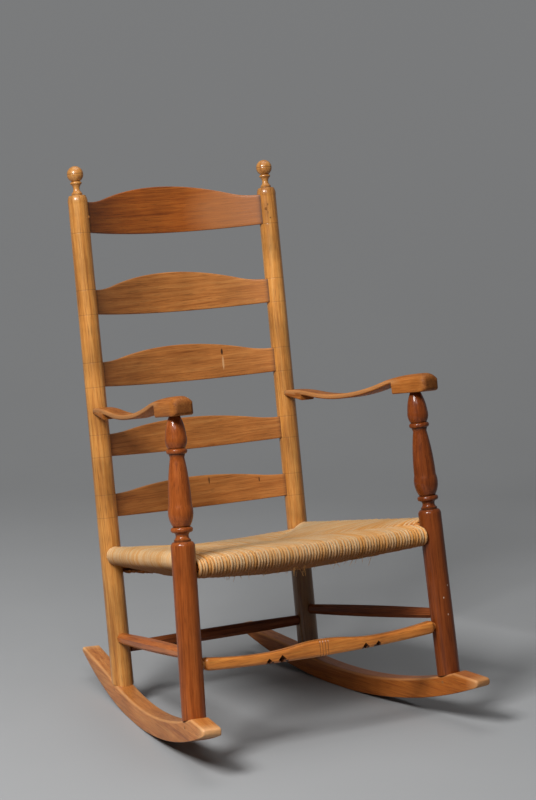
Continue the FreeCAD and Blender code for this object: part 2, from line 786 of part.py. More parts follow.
def rocker_blank(side):
    """Saws a rocker from a plank and rounds its long top edges."""
    body = new_body(side + "_rocker_plank")
    outline = rocker_outline(side + "_rocker_outline", body, deep=False)
    plank = pad(body, outline, "dims.rocker_width", symmetric=True)
    limit = measure("rocker_depth")

    def upper(edge):
        """Picks the two long edges of the curved top."""
        middle = edge.CenterOfMass
        along_side = edge.BoundBox.YLength < limit / 4
        return along_side and edge.Length > 6 * limit and middle.z > rocker_top(middle.x) - limit / 2

    round_edges(body, plank, "dims.rocker_edge_round", upper)
    body.Placement = rocker_place(side)
    return body


def rocker_waste(side):
    """Makes the wide block under a rocker's top line, in the square frame, that trims the posts' feet."""
    body = new_body(side + "_rocker_waste")
    pad(body, rocker_outline(side + "_waste_outline", body, deep=True), "4*dims.leg_dia", symmetric=True)
    body.Placement = stance.inverse().multiply(rocker_place(side))
    return body


# rush seat
ROLL = "(dims.rail_dia + 2*dims.rush_thickness)"


def seat_panel(name, begin, end, inner):
    """Makes one of the seat's four panels, from a rail to its points on the seat's middle line."""
    roll = Vector(0, 0, measure(ROLL) / 2 - measure("seat_rim_inset") / 2)
    top = [begin + roll, end + roll] + [Vector(x, y, measure("seat_middle_top")) for x, y in inner]
    low = [begin - roll, end - roll] + [Vector(x, y, measure("seat_middle_low")) for x, y in inner]
    count = len(top)
    rings = [top, low[::-1]]
    for index in range(count):
        following = (index + 1) % count
        rings.append([low[index], low[following], top[following], top[index]])
    faces = [Part.Face(Part.makePolygon(points + points[:1])) for points in rings]
    solid = Part.makeSolid(Part.makeShell(faces))
    if solid.Volume < 0:
        solid.reverse()
    panel = doc.addObject("Part::Feature", name)
    panel.Shape = solid
    return panel


# pegs
def peg(name, spot, direction, diameter="dims.peg_dia", length="dims.peg_length", grow=""):
    """Makes a peg, or with grow its hole, that starts at a spot and runs along a direction."""
    return rod(name, diameter + grow, length + (grow and " + dims.peg_proud"), aim(spot, direction))


def make_pegs(name, spots, diameter="dims.peg_dia", length="dims.peg_length"):
    """Makes a group of pegs and the list of holes for them."""
    pegs = [peg(f"{name}_{i}", spot, way, diameter, length) for i, (spot, way) in enumerate(spots)]
    holes = [
        peg(f"{name}_hole_{i}", spot, way, diameter, length, " + 2*dims.fit")
        for i, (spot, way) in enumerate(spots)
    ]
    group = doc.addObject("Part::Compound", name + "_group")
    group.Links = pegs
    return group, holes


# assembly of the pieces in the square frame
NODES = {}


def add_node(label, shape, placement):
    """Keeps a finished piece under its label, standing at a placement."""
    shape.Label = label
    shape.Placement = placement.multiply(shape.Placement)
    NODES[label] = shape


def socket(name, begin, direction, post_radius, diameter):
    """Makes the hole for a round tenon that enters a post along direction from the post's axis."""
    inner = measure(f"{post_radius} - dims.tenon_length - dims.fit")
    bar = rod(name, f"{diameter} + 2*dims.fit", "dims.tenon_length*2", Placement())
    bar.Placement = aim(begin + direction.normalize() * inner, direction)
    return bar


rail_lines = {
    "front_seat_rail": ("front", "left", "front", "right", FRONT_RAIL, FRONT_RAIL),
    "back_seat_rail": ("back", "left", "back", "right", BACK_RAIL, BACK_RAIL),
    "left_seat_rail": ("back", "left", "front", "left", SIDE_RAIL_BACK, SIDE_RAIL_FRONT),
    "right_seat_rail": ("back", "right", "front", "right", SIDE_RAIL_BACK, SIDE_RAIL_FRONT),
    "back_stretcher": ("back", "left", "back", "right", BACK_STRETCHER, BACK_STRETCHER),
    "left_stretcher": ("back", "left", "front", "left", SIDE_STRETCHER, SIDE_STRETCHER),
    "right_stretcher": ("back", "right", "front", "right", SIDE_STRETCHER, SIDE_STRETCHER),
}


def post_point(row, side, height):
    """Gives the point on a post's axis at a height's expression."""
    return {"back": on_back_post, "front": on_front_post}[row](side, measure(height))


def line_length(begin_row, end_row, begin_height, end_height):
    """Gives the expression for a rail's length between the two posts' axes."""
    if begin_row == end_row == "back":
        return "dims.back_spread"
    if begin_row == end_row == "front":
        return f"2*{front_reach(begin_height)}"
    run = f"({front_reach(end_height)} - dims.back_spread/2)"
    return f"sqrt(dims.frame_depth^2 + {run}^2 + ({end_height} - {begin_height})^2)"


sockets = {(row, side): [] for row in ("back", "front") for side in SIDES}
sticks = {}
for label, (row_a, side_a, row_b, side_b, height_a, height_b) in rail_lines.items():
    point_a, point_b = post_point(row_a, side_a, height_a), post_point(row_b, side_b, height_b)
    span = line_length(row_a, row_b, height_a, height_b)
    radius_a, radius_b = post_radius(row_a, height_a), post_radius(row_b, height_b)
    if label.endswith("rail"):
        outline = rail_outline(span, radius_a, radius_b)
        sticks[label] = stick(label + "_stick", point_a, point_b, outline)
    else:
        sticks[label] = shaved_stick(label + "_stick", point_a, point_b, span, radius_a, radius_b)
    ends = ((row_a, side_a, point_a, point_b, radius_a), (row_b, side_b, point_b, point_a, radius_b))
    for row, side, near, far, radius in ends:
        hole = socket(f"{label}_{row}_{side}_socket", near, far - near, radius, "dims.tenon_dia")
        sockets[row, side].append(hole)

sticks["front_stretcher"] = yoke_stretcher()
for side in SIDES:
    near = post_point("front", side, "dims.front_stretcher_height")
    inward = Vector(-SIDES[side], 0, 0)
    sockets["front", side].append(
        socket(f"yoke_{side}_socket", near, inward, "dims.leg_dia/2", "dims.tenon_dia")
    )

slats = {slat: slat_piece(slat) for slat in SLATS}
mortises = {slat: slat_blank(f"{slat}_mortise", slat, "dims.fit") for slat in SLATS}

# pegs: through the top slat's tenons, the back seat rail's tenons, the arms' blocks and the rockers
proud = measure("peg_proud")
back_radius, leg_radius = measure("back_post_dia/2"), measure("leg_dia/2")
inset = measure("slat_tenon/2")
slat_spots, rail_spots, arm_spots, rocker_spots = [], [], [], []
for side, sign in SIDES.items():
    slat_height = measure(f"{slat_base('top')} + dims.top_slat_end/2")
    slat_x = measure("back_spread/2") - back_radius + inset
    rail_height = measure("back_rail_height - peg_dia")
    for spots, height in ((slat_spots, slat_height), (rail_spots, rail_height)):
        local_radius = measure(post_radius("back", str(height)))
        face = -math.sqrt(local_radius**2 - (back_radius - inset) ** 2)
        spots.append((Vector(sign * slat_x, face - proud, height), Vector(0, 1, 0)))
    begin, forward = arm_axis(side)
    outward = Vector(sign * abs(forward.y), sign * abs(forward.x), 0)
    block_middle = on_front_post(side, measure(f"{ARM_SEAT} + dims.arm_tenon_length*0.6"))
    arm_face = measure("arm_front_width/2") + proud
    arm_spots.append((block_middle + outward * arm_face, outward * -1))
    across = rocker_place(side).Rotation.multVec(Vector(0, 1, 0))
    for foot in FEET[side].values():
        rise = post_rise(side) if foot.y else Vector(0, 0, 1)
        tenon_middle = stance.multVec(foot - rise * measure("foot_tenon_length/2"))
        rocker_spots.append((tenon_middle + across * (measure("rocker_width/2") + proud), across * -1))

slat_pegs, slat_peg_holes = make_pegs("slat_peg", slat_spots)
rail_pegs, rail_peg_holes = make_pegs("rail_peg", rail_spots)
arm_pegs, arm_peg_holes = make_pegs("arm_peg", arm_spots, "dims.arm_peg_dia")
rocker_pegs, rocker_peg_holes = make_pegs(
    "rocker_peg", rocker_spots, length="dims.rocker_width + 2*dims.peg_proud"
)
upright = stance.inverse()
frame_rocker_holes = []
for index, (spot, way) in enumerate(rocker_spots):
    start = upright.multVec(spot)
    direction = upright.Rotation.multVec(way)
    frame_rocker_holes.append(
        peg(f"foot_peg_hole_{index}", start, direction, length="dims.rocker_width", grow=" + 2*dims.fit")
    )

# posts: trimmed to the rockers, given foot tenons and cut for all that enters them
arm_sockets = {}
for side_index, (side, sign) in enumerate(SIDES.items()):
    waste = rocker_waste(side)
    blanks = {"back": back_post_blank(side), "front": front_post_blank(side)}
    begin, forward = arm_axis(side)
    arm_lift = Vector(0, 0, measure("(arm_end_height + arm_heel_rise)/2"))
    arm_tenon = rod(
        f"{side}_arm_tenon", "dims.arm_back_tenon_dia", "dims.tenon_length + dims.arm_heel_length/2",
        aim(begin + arm_lift + forward * (back_radius - measure("tenon_length")), forward),
    )
    arm_hole = socket(
        f"{side}_arm_socket", begin + arm_lift, forward, "dims.back_post_dia/2", "dims.arm_back_tenon_dia"
    )
    sockets["back", side].append(arm_hole)
    for foot_index, (row, blank) in enumerate(blanks.items()):
        foot = FEET[side][row]
        rise = post_rise(side) if row == "front" else Vector(0, 0, 1)
        trimmed = carve(f"{side}_{row}_post_trimmed", blank, [waste])
        tenon = rod(
            f"{side}_{row}_foot_tenon", "dims.foot_tenon_dia", "2*dims.foot_tenon_length",
            aim(foot - rise * measure("foot_tenon_length"), rise),
        )
        whole = fuse(f"{side}_{row}_post_whole", [trimmed, tenon])
        tools = list(sockets[row, side]) + [frame_rocker_holes[2 * side_index + foot_index]]
        if row == "back":
            tools += [mortises[slat] for slat in SLATS]
            tools += [slat_peg_holes[side_index], rail_peg_holes[side_index]]
        else:
            tools.append(arm_peg_holes[side_index])
        add_node(f"{side}_{row}_post", carve(f"{side}_{row}_post_cut", whole, tools), stance)

    tenoned = fuse(f"{side}_arm_whole", [
        carve(f"{side}_arm_coped", arm_blank(side), [
            rod(f"{side}_cope", "dims.back_post_dia + 2*dims.fit", slat_base("top"),
                Placement(on_back_post(side, 0), Rotation()))
        ]),
        arm_tenon,
    ])
    rise = post_rise(side)
    seat = on_front_post(side, measure(ARM_SEAT))
    arm_mortise = rod(
        f"{side}_arm_mortise", "dims.arm_tenon_dia + 2*dims.fit", "2*dims.arm_tenon_length + dims.fit",
        aim(seat - rise * measure("arm_tenon_length"), rise),
    )
    cut_arm = carve(f"{side}_arm_cut", tenoned, [arm_mortise, arm_peg_holes[side_index]])
    add_node(f"{side}_arm", cut_arm, stance)

    foot_holes = []
    for foot_index, (row, foot) in enumerate(FEET[side].items()):
        rise = post_rise(side) if row == "front" else Vector(0, 0, 1)
        start = stance.multVec(foot - rise * measure("foot_tenon_length + fit"))
        foot_holes.append(rod(
            f"{side}_{row}_foot_hole", "dims.foot_tenon_dia + 2*dims.fit", "2*dims.foot_tenon_length",
            aim(start, stance.Rotation.multVec(rise)),
        ))
    side_holes = rocker_peg_holes[2 * side_index:2 * side_index + 2]
    cut_rocker = carve(f"{side}_rocker_cut", rocker_blank(side), foot_holes + side_holes)
    add_node(f"{side}_rocker", cut_rocker, Placement())

# the top slat is bored for its pegs, and the back rail for its own
for slat in SLATS:
    piece = carve("top_slat_bored", slats[slat], slat_peg_holes) if slat == "top" else slats[slat]
    add_node(f"{slat}_slat", piece, stance)
sticks["back_seat_rail"] = carve("back_seat_rail_bored", sticks["back_seat_rail"], rail_peg_holes)
for label, piece in sticks.items():
    add_node(label, piece, stance)

# rush: a roll round each rail and four panels that meet in the middle, cut by the rails and the posts
panels, rolls = [], []
middle_y = -measure("seat_middle_back")
middle_left, middle_right = [(sign * measure("seat_middle_half"), middle_y) for sign in SIDES.values()]
seat_rails = {
    "front_seat_rail": (middle_right, middle_left),
    "back_seat_rail": (middle_right, middle_left),
    "left_seat_rail": (middle_left,),
    "right_seat_rail": (middle_right,),
}
for label, inner in seat_rails.items():
    row_a, side_a, row_b, side_b, height_a, height_b = rail_lines[label]
    point_a, point_b = post_point(row_a, side_a, height_a), post_point(row_b, side_b, height_b)
    panels.append(seat_panel(label + "_panel", point_a, point_b, inner))
    span = line_length(row_a, row_b, height_a, height_b)
    rolls.append(rod(label + "_roll", ROLL, span, aim(point_a, point_b - point_a)))
woven = fuse("rush_blank", panels + rolls)
clearances = []
for side in SIDES:
    post_high = "dims.fifth_slat_height"
    clearances.append(rod(f"{side}_back_clearance", "dims.back_post_dia + 2*dims.rush_gap", post_high,
                          Placement(on_back_post(side, 0), Rotation())))
    clearances.append(rod(f"{side}_front_clearance", "dims.leg_dia + 2*dims.rush_gap", post_high,
                          aim(on_front_post(side, 0), post_rise(side))))
rail_cores = []
for label in seat_rails:
    row_a, side_a, row_b, side_b, height_a, height_b = rail_lines[label]
    point_a, point_b = post_point(row_a, side_a, height_a), post_point(row_b, side_b, height_b)
    span = line_length(row_a, row_b, height_a, height_b)
    core_outline = rail_outline(span, post_radius(row_a, height_a), post_radius(row_b, height_b))
    rail_cores.append(stick(label + "_core", point_a, point_b, core_outline))
add_node("rush_seat", carve("rush_seat_cut", woven, clearances + rail_cores), stance)

add_node("slat_pegs", slat_pegs, stance)
add_node("rail_pegs", rail_pegs, stance)
add_node("arm_pegs", arm_pegs, stance)
add_node("rocker_pegs", rocker_pegs, Placement())

# the chair is centred front to back over the origin
doc.recompute()
box = FreeCAD.BoundBox()
for shape in NODES.values():
    box.add(shape.Shape.BoundBox)
for shape in NODES.values():
    shape.Placement = Placement(Vector(0, -box.Center.y, 0), Rotation()).multiply(shape.Placement)
doc.recompute()

faults = [item.Name for item in doc.Objects if {"Invalid", "Error"} & set(item.State)]
faults += [label for label, shape in NODES.items() if shape.Shape.isNull() or not shape.Shape.isValid()]
if faults:
    raise ValueError(f"these failed to build: {faults}")

os.makedirs("parts", exist_ok=True)
for label, shape in NODES.items():
    shape.Shape.exportStep(os.path.join("parts", label + ".step"))
    print(label, len(shape.Shape.Solids), round(shape.Shape.Volume / 1000, 1), "cm3")
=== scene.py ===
"""Dresses the ladder back rocking chair: turned posts, bowed slats, arms, rockers and a woven rush seat."""

from __future__ import annotations

import logging
import math
import random
from dataclasses import dataclass, field
from enum import Enum
from itertools import pairwise
from typing import Callable, Sequence

import bpy
from mathutils import Matrix, Vector

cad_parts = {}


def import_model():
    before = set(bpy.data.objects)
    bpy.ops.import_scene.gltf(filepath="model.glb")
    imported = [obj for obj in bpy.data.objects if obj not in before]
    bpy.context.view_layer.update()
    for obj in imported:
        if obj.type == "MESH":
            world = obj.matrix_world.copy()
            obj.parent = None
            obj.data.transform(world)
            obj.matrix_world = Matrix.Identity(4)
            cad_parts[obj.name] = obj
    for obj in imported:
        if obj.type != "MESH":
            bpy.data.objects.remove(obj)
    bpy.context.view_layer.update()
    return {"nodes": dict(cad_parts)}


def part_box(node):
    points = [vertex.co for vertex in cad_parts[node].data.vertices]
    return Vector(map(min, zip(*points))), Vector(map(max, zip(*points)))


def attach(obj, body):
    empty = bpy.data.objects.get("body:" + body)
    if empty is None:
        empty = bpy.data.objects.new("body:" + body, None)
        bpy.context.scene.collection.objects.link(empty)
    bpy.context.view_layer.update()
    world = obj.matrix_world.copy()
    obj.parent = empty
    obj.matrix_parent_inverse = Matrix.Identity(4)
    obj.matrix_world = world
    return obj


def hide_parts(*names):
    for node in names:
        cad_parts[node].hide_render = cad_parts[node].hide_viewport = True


LOG = logging.getLogger("rocking_chair")

Colour = tuple[float, float, float]
Section = list[tuple[float, float]]
Socket = bpy.types.NodeSocket

# Dark colour for soil and for painted shade.
GRIME: Colour = (0.030, 0.011, 0.004)
SCORCH: Colour = (0.030, 0.010, 0.003)
LEG_RADIUS = 0.0235
POST_RADIUS = 0.0226


class Side(Enum):
    """The chair's two sides, by the sign of X."""

    LEFT = -1
    RIGHT = 1

    @property
    def word(self) -> str:
        """Gives the side's name as the solids use it."""
        return self.name.lower()


class Bend(Enum):
    """How a turned outline bends between two points."""

    ROUND = 1
    HOLLOW = -1


class Paint(Enum):
    """What a finish reads at each point: soil, which on some pieces also carries painted shade, wear, painted
    shade on the rush cords' flanks, tone and the bend of the grain.
    """

    # Soil, and on the slats, the right back post and the rush also painted shade.
    SOIL = "soil"
    WEAR = "wear"
    GAP = "gap"
    TONE = "tone"
    GRAIN = "grain"


def clamp(share: float) -> float:
    """Keeps a share between 0 and 1."""
    return min(max(share, 0.0), 1.0)


def arc_radius(half: float, rise: float) -> float:
    """Gives the radius of an arc from half its chord and its rise."""
    return (half**2 + rise**2) / (2 * rise)


def round_off(past: float) -> float:
    """Gives how far a quarter round has closed in, at a share of its run."""
    return 1.0 - math.sqrt(max(1.0 - past**2, 0.0))


def facing(forward: Vector) -> Matrix:
    """Gives the turn that lays the X axis along a level direction."""
    upward = Vector((0.0, 0.0, 1.0))
    return Matrix((forward, upward.cross(forward), upward)).transposed().to_4x4()


def deselect() -> None:
    """Leaves edit mode if it is on, and deselects every object."""
    if bpy.context.object and bpy.context.object.mode != "OBJECT":
        bpy.ops.object.mode_set(mode="OBJECT")
    bpy.ops.object.select_all(action="DESELECT")


def choose(piece: bpy.types.Object) -> None:
    """Makes a piece the only one selected, and the active one."""
    deselect()
    piece.select_set(True)
    bpy.context.view_layer.objects.active = piece


def edit_all(piece: bpy.types.Object) -> None:
    """Opens a piece in edit mode with all of its mesh selected."""
    choose(piece)
    bpy.ops.object.mode_set(mode="EDIT")
    bpy.ops.mesh.select_all(action="SELECT")


def face_outwards(piece: bpy.types.Object) -> None:
    """Turns all faces of a mesh outwards."""
    edit_all(piece)
    bpy.ops.mesh.normals_make_consistent(inside=False)
    bpy.ops.object.mode_set(mode="OBJECT")


def close_mesh(piece: bpy.types.Object) -> None:
    """Merges a mesh's seam, fills its open ends and turns its faces outwards."""
    edit_all(piece)
    bpy.ops.mesh.remove_doubles(threshold=1e-6)
    bpy.ops.mesh.fill_holes(sides=0)
    face_outwards(piece)


def trim_foot(piece: bpy.types.Object, spot: Vector, out: Vector, sink: float = 0.0004) -> None:
    """Cuts a post off along a rocker's top and closes the cut.

    Args:
        piece: the post, in its place.
        spot: a point on the rocker's top.
        out: the direction straight out of the rocker.
        sink: how far below that top the cut lies.
    """
    edit_all(piece)
    bpy.ops.mesh.bisect(plane_co=spot - out * sink, plane_no=out, use_fill=True, clear_inner=True)
    face_outwards(piece)


def soften(piece: bpy.types.Object, degrees: float = 38.0) -> None:
    """Shades a piece smooth, except over edges sharper than an angle."""
    choose(piece)
    bpy.ops.object.shade_smooth_by_angle(angle=math.radians(degrees))


def apply_modifier(piece: bpy.types.Object, kind: str, **settings: object) -> None:
    """Adds a modifier with its settings and applies it.

    Args:
        piece: the object to change.
        kind: Blender's name for the modifier's type.
        settings: the modifier's properties.
    """
    choose(piece)
    modifier = piece.modifiers.new(kind.lower(), kind)
    for key, value in settings.items():
        setattr(modifier, key, value)
    bpy.ops.object.modifier_apply(modifier=modifier.name)


def paint(piece: bpy.types.Object, kind: Paint, amount: Callable[[Vector], float]) -> None:
    """Writes an attribute at every point of a mesh.

    Args:
        piece: the object whose points are painted.
        kind: which attribute is written.
        amount: gives the attribute's value at a point, from 0 to 1.
    """
    layer = piece.data.attributes.get(kind.value)
    if layer is None:
        layer = piece.data.attributes.new(kind.value, "FLOAT", "POINT")
    for vertex in piece.data.vertices:
        layer.data[vertex.index].value = clamp(amount(vertex.co))


def lay_grain(piece: bpy.types.Object, flatten: Callable[[Vector], Vector]) -> None:
    """Writes at every point of a bent piece where that point was in the straight board.

    Args:
        piece: the bent object.
        flatten: gives the place in the straight board.
    """
    layer = piece.data.attributes.new(Paint.GRAIN.value, "FLOAT_VECTOR", "POINT")
    for vertex in piece.data.vertices:
        layer.data[vertex.index].vector = flatten(vertex.co)


def set_in_place(piece: bpy.types.Object, matrix: Matrix) -> None:
    """Moves a mesh by a matrix and leaves its object at the origin."""
    piece.data.transform(matrix)
    piece.matrix_world = Matrix.Identity(4)
    piece.data.update()


def new_grid(name: str, columns: int, rows: int) -> bpy.types.Object:
    """Adds a flat grid with a number of faces each way.

    Args:
        name: the new object's name.
        columns: its faces along X.
        rows: its faces along Y.

    Returns:
        The grid.
    """
    deselect()
    bpy.ops.mesh.primitive_grid_add(x_subdivisions=columns, y_subdivisions=rows, size=1.0)
    grid = bpy.context.object
    grid.name = name
    grid.data.name = name
    return grid


def sleeve(name: str, stations: Sequence[float], section: Callable[[float], Section]) -> bpy.types.Object:
    """Wraps a grid round a row of sections, as a skin is drawn over ribs.

    Args:
        name: the new object's name.
        stations: the lengths along the X axis at which a section stands.
        section: gives the closed section at a length, always with the same number of points.

    Returns:
        The closed object.
    """
    rings = [[Vector((along, *point)) for point in section(along)] for along in stations]
    columns = len(rings[0])
    piece = new_grid(name, columns, len(rings) - 1)
    points = [ring[index % columns] for ring in rings for index in range(columns + 1)]
    for vertex, point in zip(piece.data.vertices, points, strict=True):
        vertex.co = point
    close_mesh(piece)
    return piece


def rounded_section(half: float, low: float, high: float, top_round: float, low_round: float) -> Section:
    """Gives the points of an upright rectangle with rounded corners, from its lower right corner round.

    Args:
        half: half its width.
        low: the height of its underside.
        high: the height of its top.
        top_round: the radius of its two upper corners.
        low_round: the radius of its two lower corners.

    Returns:
        Pairs of sideways distance and height.
    """
    limit = 0.49 * min(2 * half, high - low)
    above, below = min(top_round, limit), min(low_round, limit)
    corners = (
        (half, low, below, -90),
        (half, high, above, 0),
        (-half, high, above, 90),
        (-half, low, below, 180),
    )
    sides = (
        [(half, (low + high) / 2)],
        [(half * share, high) for share in (0.6, 0.3, 0.0, -0.3, -0.6)],
        [(-half, (low + high) / 2)],
        [(half * share, low) for share in (-0.5, 0.0, 0.5)],
    )
    section: Section = []
    for (x, z, radius, start), side in zip(corners, sides):
        middle_x = x - math.copysign(radius, x)
        middle_z = z + radius if z == low else z - radius
        for step in range(6):
            angle = math.radians(start + 18 * step)
            section.append((middle_x + radius * math.cos(angle), middle_z + radius * math.sin(angle)))
        section.extend(side)
    return section


def new_tubes(name: str, radius: float, resolution: int) -> bpy.types.Curve:
    """Starts a curve whose lines become capped tubes.

    Args:
        name: the curve's name.
        radius: the tubes' radius.
        resolution: how finely they are rounded.

    Returns:
        The curve, with no line yet.
    """
    shape = bpy.data.curves.new(name, "CURVE")
    shape.dimensions = "3D"
    shape.bevel_depth = radius
    shape.bevel_resolution = resolution
    shape.use_fill_caps = True
    return shape


def tubes_to_mesh(shape: bpy.types.Curve) -> bpy.types.Object:
    """Makes a mesh object of a curve's tubes.

    Args:
        shape: the curve with its lines.

    Returns:
        The object, which has the curve's name.
    """
    piece = bpy.data.objects.new(shape.name, shape)
    bpy.context.scene.collection.objects.link(piece)
    choose(piece)
    bpy.ops.object.convert(target="MESH")
    return bpy.context.object


@dataclass
class Turning:
    """The outline of a turned piece, drawn from its foot to its top, with the soil in its quirks."""

    points: list[tuple[float, float, float]] = field(default_factory=list)

    def line(self, radius: float, height: float, soil: float = 0.0) -> "Turning":
        """Draws a straight edge to a radius at a height."""
        self.points.append((radius, height, soil))
        return self

    def curve(
        self,
        radius: float,
        height: float,
        bend: float,
        way: Bend = Bend.ROUND,
        soil: float = 0.0,
        steps: int = 7,
    ) -> "Turning":
        """Draws an arc to a radius at a height.

        Args:
            radius: the radius where the arc ends.
            height: the height where the arc ends.
            bend: the arc's own radius.
            way: whether it is round or hollow.
            soil: the soil where it ends.
            steps: how many edges it has.

        Returns:
            The turning itself.
        """
        begin = Vector(self.points[-1][:2])
        end = Vector((radius, height))
        chord = end - begin
        across = Vector((-chord.y, chord.x)).normalized()
        rise = math.sqrt(max(bend**2 - (chord.length / 2) ** 2, 0.0))
        middle = (begin + end) / 2 + across * rise * way.value
        first = math.atan2(begin.y - middle.y, begin.x - middle.x)
        sweep = math.atan2(end.y - middle.y, end.x - middle.x) - first
        sweep = (sweep + math.pi) % (2 * math.pi) - math.pi
        for step in range(1, steps + 1):
            angle = first + sweep * step / steps
            spot = middle + Vector((math.cos(angle), math.sin(angle))) * bend
            self.points.append((max(spot.x, 0.0002), spot.y, soil if step == steps else 0.0))
        return self

    def scribe(self, radius: float, height: float) -> "Turning":
        """Cuts a fine scribed ring round the piece."""
        depth, width = 0.00022, 0.0008
        self.line(radius, height - width).line(radius - depth, height, 0.65).line(radius, height + width)
        return self

    def supported(self, inset: float = 0.0015) -> list[tuple[float, float, float]]:
        """Gives the outline with a clean ring near both ends of each long edge, for straight shading.

        Args:
            inset: how far from an edge's end its ring is.

        Returns:
            The points with the new ones between them.
        """
        points = [self.points[0]]
        for near, far in pairwise(self.points):
            run, rise = far[0] - near[0], far[1] - near[1]
            length = math.hypot(run, rise)
            if length > 6 * inset:
                for share in (inset / length, 1.0 - inset / length):
                    points.append((near[0] + run * share, near[1] + rise * share, 0.0))
            points.append(far)
        return points

    def build(self, name: str, sides: int = 56) -> bpy.types.Object:
        """Turns the outline by extruding and resizing a circle from point to point.

        Args:
            name: the new object's name.
            sides: how many faces it has round it.

        Returns:
            The turned object, upright on its own axis.
        """
        deselect()
        self.points = self.supported()
        radius, height, _ = self.points[0]
        bpy.ops.mesh.primitive_circle_add(vertices=sides, radius=radius, fill_type="NGON")
        piece = bpy.context.object
        piece.name = name
        piece.data.name = name
        bpy.ops.object.mode_set(mode="EDIT")
        bpy.ops.transform.translate(value=(0.0, 0.0, height))
        for (near, low, _), (far, high, _) in pairwise(self.points):
            bpy.ops.mesh.extrude_region_move(TRANSFORM_OT_translate={"value": (0.0, 0.0, high - low)})
            bpy.ops.transform.resize(value=(far / near, far / near, 1.0), center_override=(0.0, 0.0, high))
        face_outwards(piece)
        paint(piece, Paint.SOIL, self.soil_at)
        return piece

    def soil_at(self, point: Vector) -> float:
        """Gives the soil of the outline's point nearest to a point of the mesh."""
        radius, height = math.hypot(point.x, point.y), point.z
        return min(self.points, key=lambda spot: abs(spot[0] - radius) + abs(spot[1] - height))[2]


class NodeBench:
    """Adds shader nodes to a new material or world and wires them together."""

    def __init__(self, owner: bpy.types.Material | bpy.types.World) -> None:
        """Starts with the owner's first shader and its output."""
        owner.use_nodes = True
        self.tree = owner.node_tree
        world = isinstance(owner, bpy.types.World)
        self.shader = self.tree.nodes["Background" if world else "Principled BSDF"]
        self.surface = self.tree.nodes["World Output" if world else "Material Output"].inputs["Surface"]

    def add(self, kind: str, inputs: dict | None = None, **settings: object) -> bpy.types.Node:
        """Adds a node.

        Args:
            kind: the node's type, without the word that all shader nodes start with.
            inputs: values or sockets for its inputs, by name or number.
            settings: its own properties.

        Returns:
            The node.
        """
        node = self.tree.nodes.new("ShaderNode" + kind)
        for key, value in settings.items():
            setattr(node, key, value)
        for key, value in (inputs or {}).items():
            self.wire(node.inputs[key], value)
        return node

    def wire(self, socket: Socket, value: object) -> None:
        """Links a socket to another one, or sets its value.

        Args:
            socket: the input.
            value: another node's output, or the value itself.
        """
        if isinstance(value, Socket):
            self.tree.links.new(value, socket)
        else:
            socket.default_value = value

    def set(self, **values: object) -> None:
        """Links or sets the shader's inputs, with an underscore for each space in their names."""
        for key, value in values.items():
            self.wire(self.shader.inputs[key.replace("_", " ")], value)

    def math(self, operation: str, *values: object) -> Socket:
        """Adds a calculation with numbers or sockets and gives its result."""
        return self.add("Math", dict(enumerate(values)), operation=operation).outputs[0]

    def ramp(self, factor: Socket, stops: Sequence[tuple[float, Sequence[float]]]) -> Socket:
        """Adds a colour ramp and gives its colour.

        Args:
            factor: the socket that the ramp reads.
            stops: places on the ramp, each with its colour or grey.

        Returns:
            The colour's socket.
        """
        node = self.add("ValToRGB", {"Fac": factor})
        elements = node.color_ramp.elements
        while len(elements) < len(stops):
            elements.new(0.5)
        for element, (place, colour) in zip(elements, stops):
            element.position = place
            element.color = (*colour, 1.0) if len(colour) == 3 else (colour[0], colour[0], colour[0], 1.0)
        return node.outputs["Color"]

    def blend(self, factor: object, first: object, second: object, mode: str = "MIX") -> Socket:
        """Mixes two colours.

        Args:
            factor: how much of the second one there is.
            first: the colour below.
            second: the colour above.
            mode: how the second one is laid on.

        Returns:
            The colour's socket.
        """
        first = (*first, 1.0) if isinstance(first, tuple) else first
        second = (*second, 1.0) if isinstance(second, tuple) else second
        node = self.add("Mix", {0: factor, 6: first, 7: second}, data_type="RGBA", blend_type=mode)
        return node.outputs[2]

    def noise(self, vector: Socket, scale: float, detail: float, rough: float = 0.55) -> Socket:
        """Adds a noise pattern and gives its value."""
        sizes = {"Vector": vector, "Scale": scale, "Detail": detail, "Roughness": rough}
        return self.add("TexNoise", sizes).outputs["Fac"]

    def attribute(self, kind: Paint) -> Socket:
        """Reads one of the painted attributes."""
        return self.add("Attribute", attribute_name=kind.value).outputs["Fac"]

    def seen(self) -> Socket:
        """Tells whether a ray is the camera's own, or a reflected one, or one let through."""
        rays = self.add("LightPath").outputs
        direct = self.math("MAXIMUM", rays["Is Camera Ray"], rays["Is Glossy Ray"])
        return self.math("MAXIMUM", direct, rays["Is Transmission Ray"])


@dataclass(frozen=True)
class Mark:
    """A knot, stain, fissure or painted highlight at a place on a piece."""

    spot: tuple[float, float, float]
    size: tuple[float, float, float]
    colour: Colour
    strength: float = 0.85


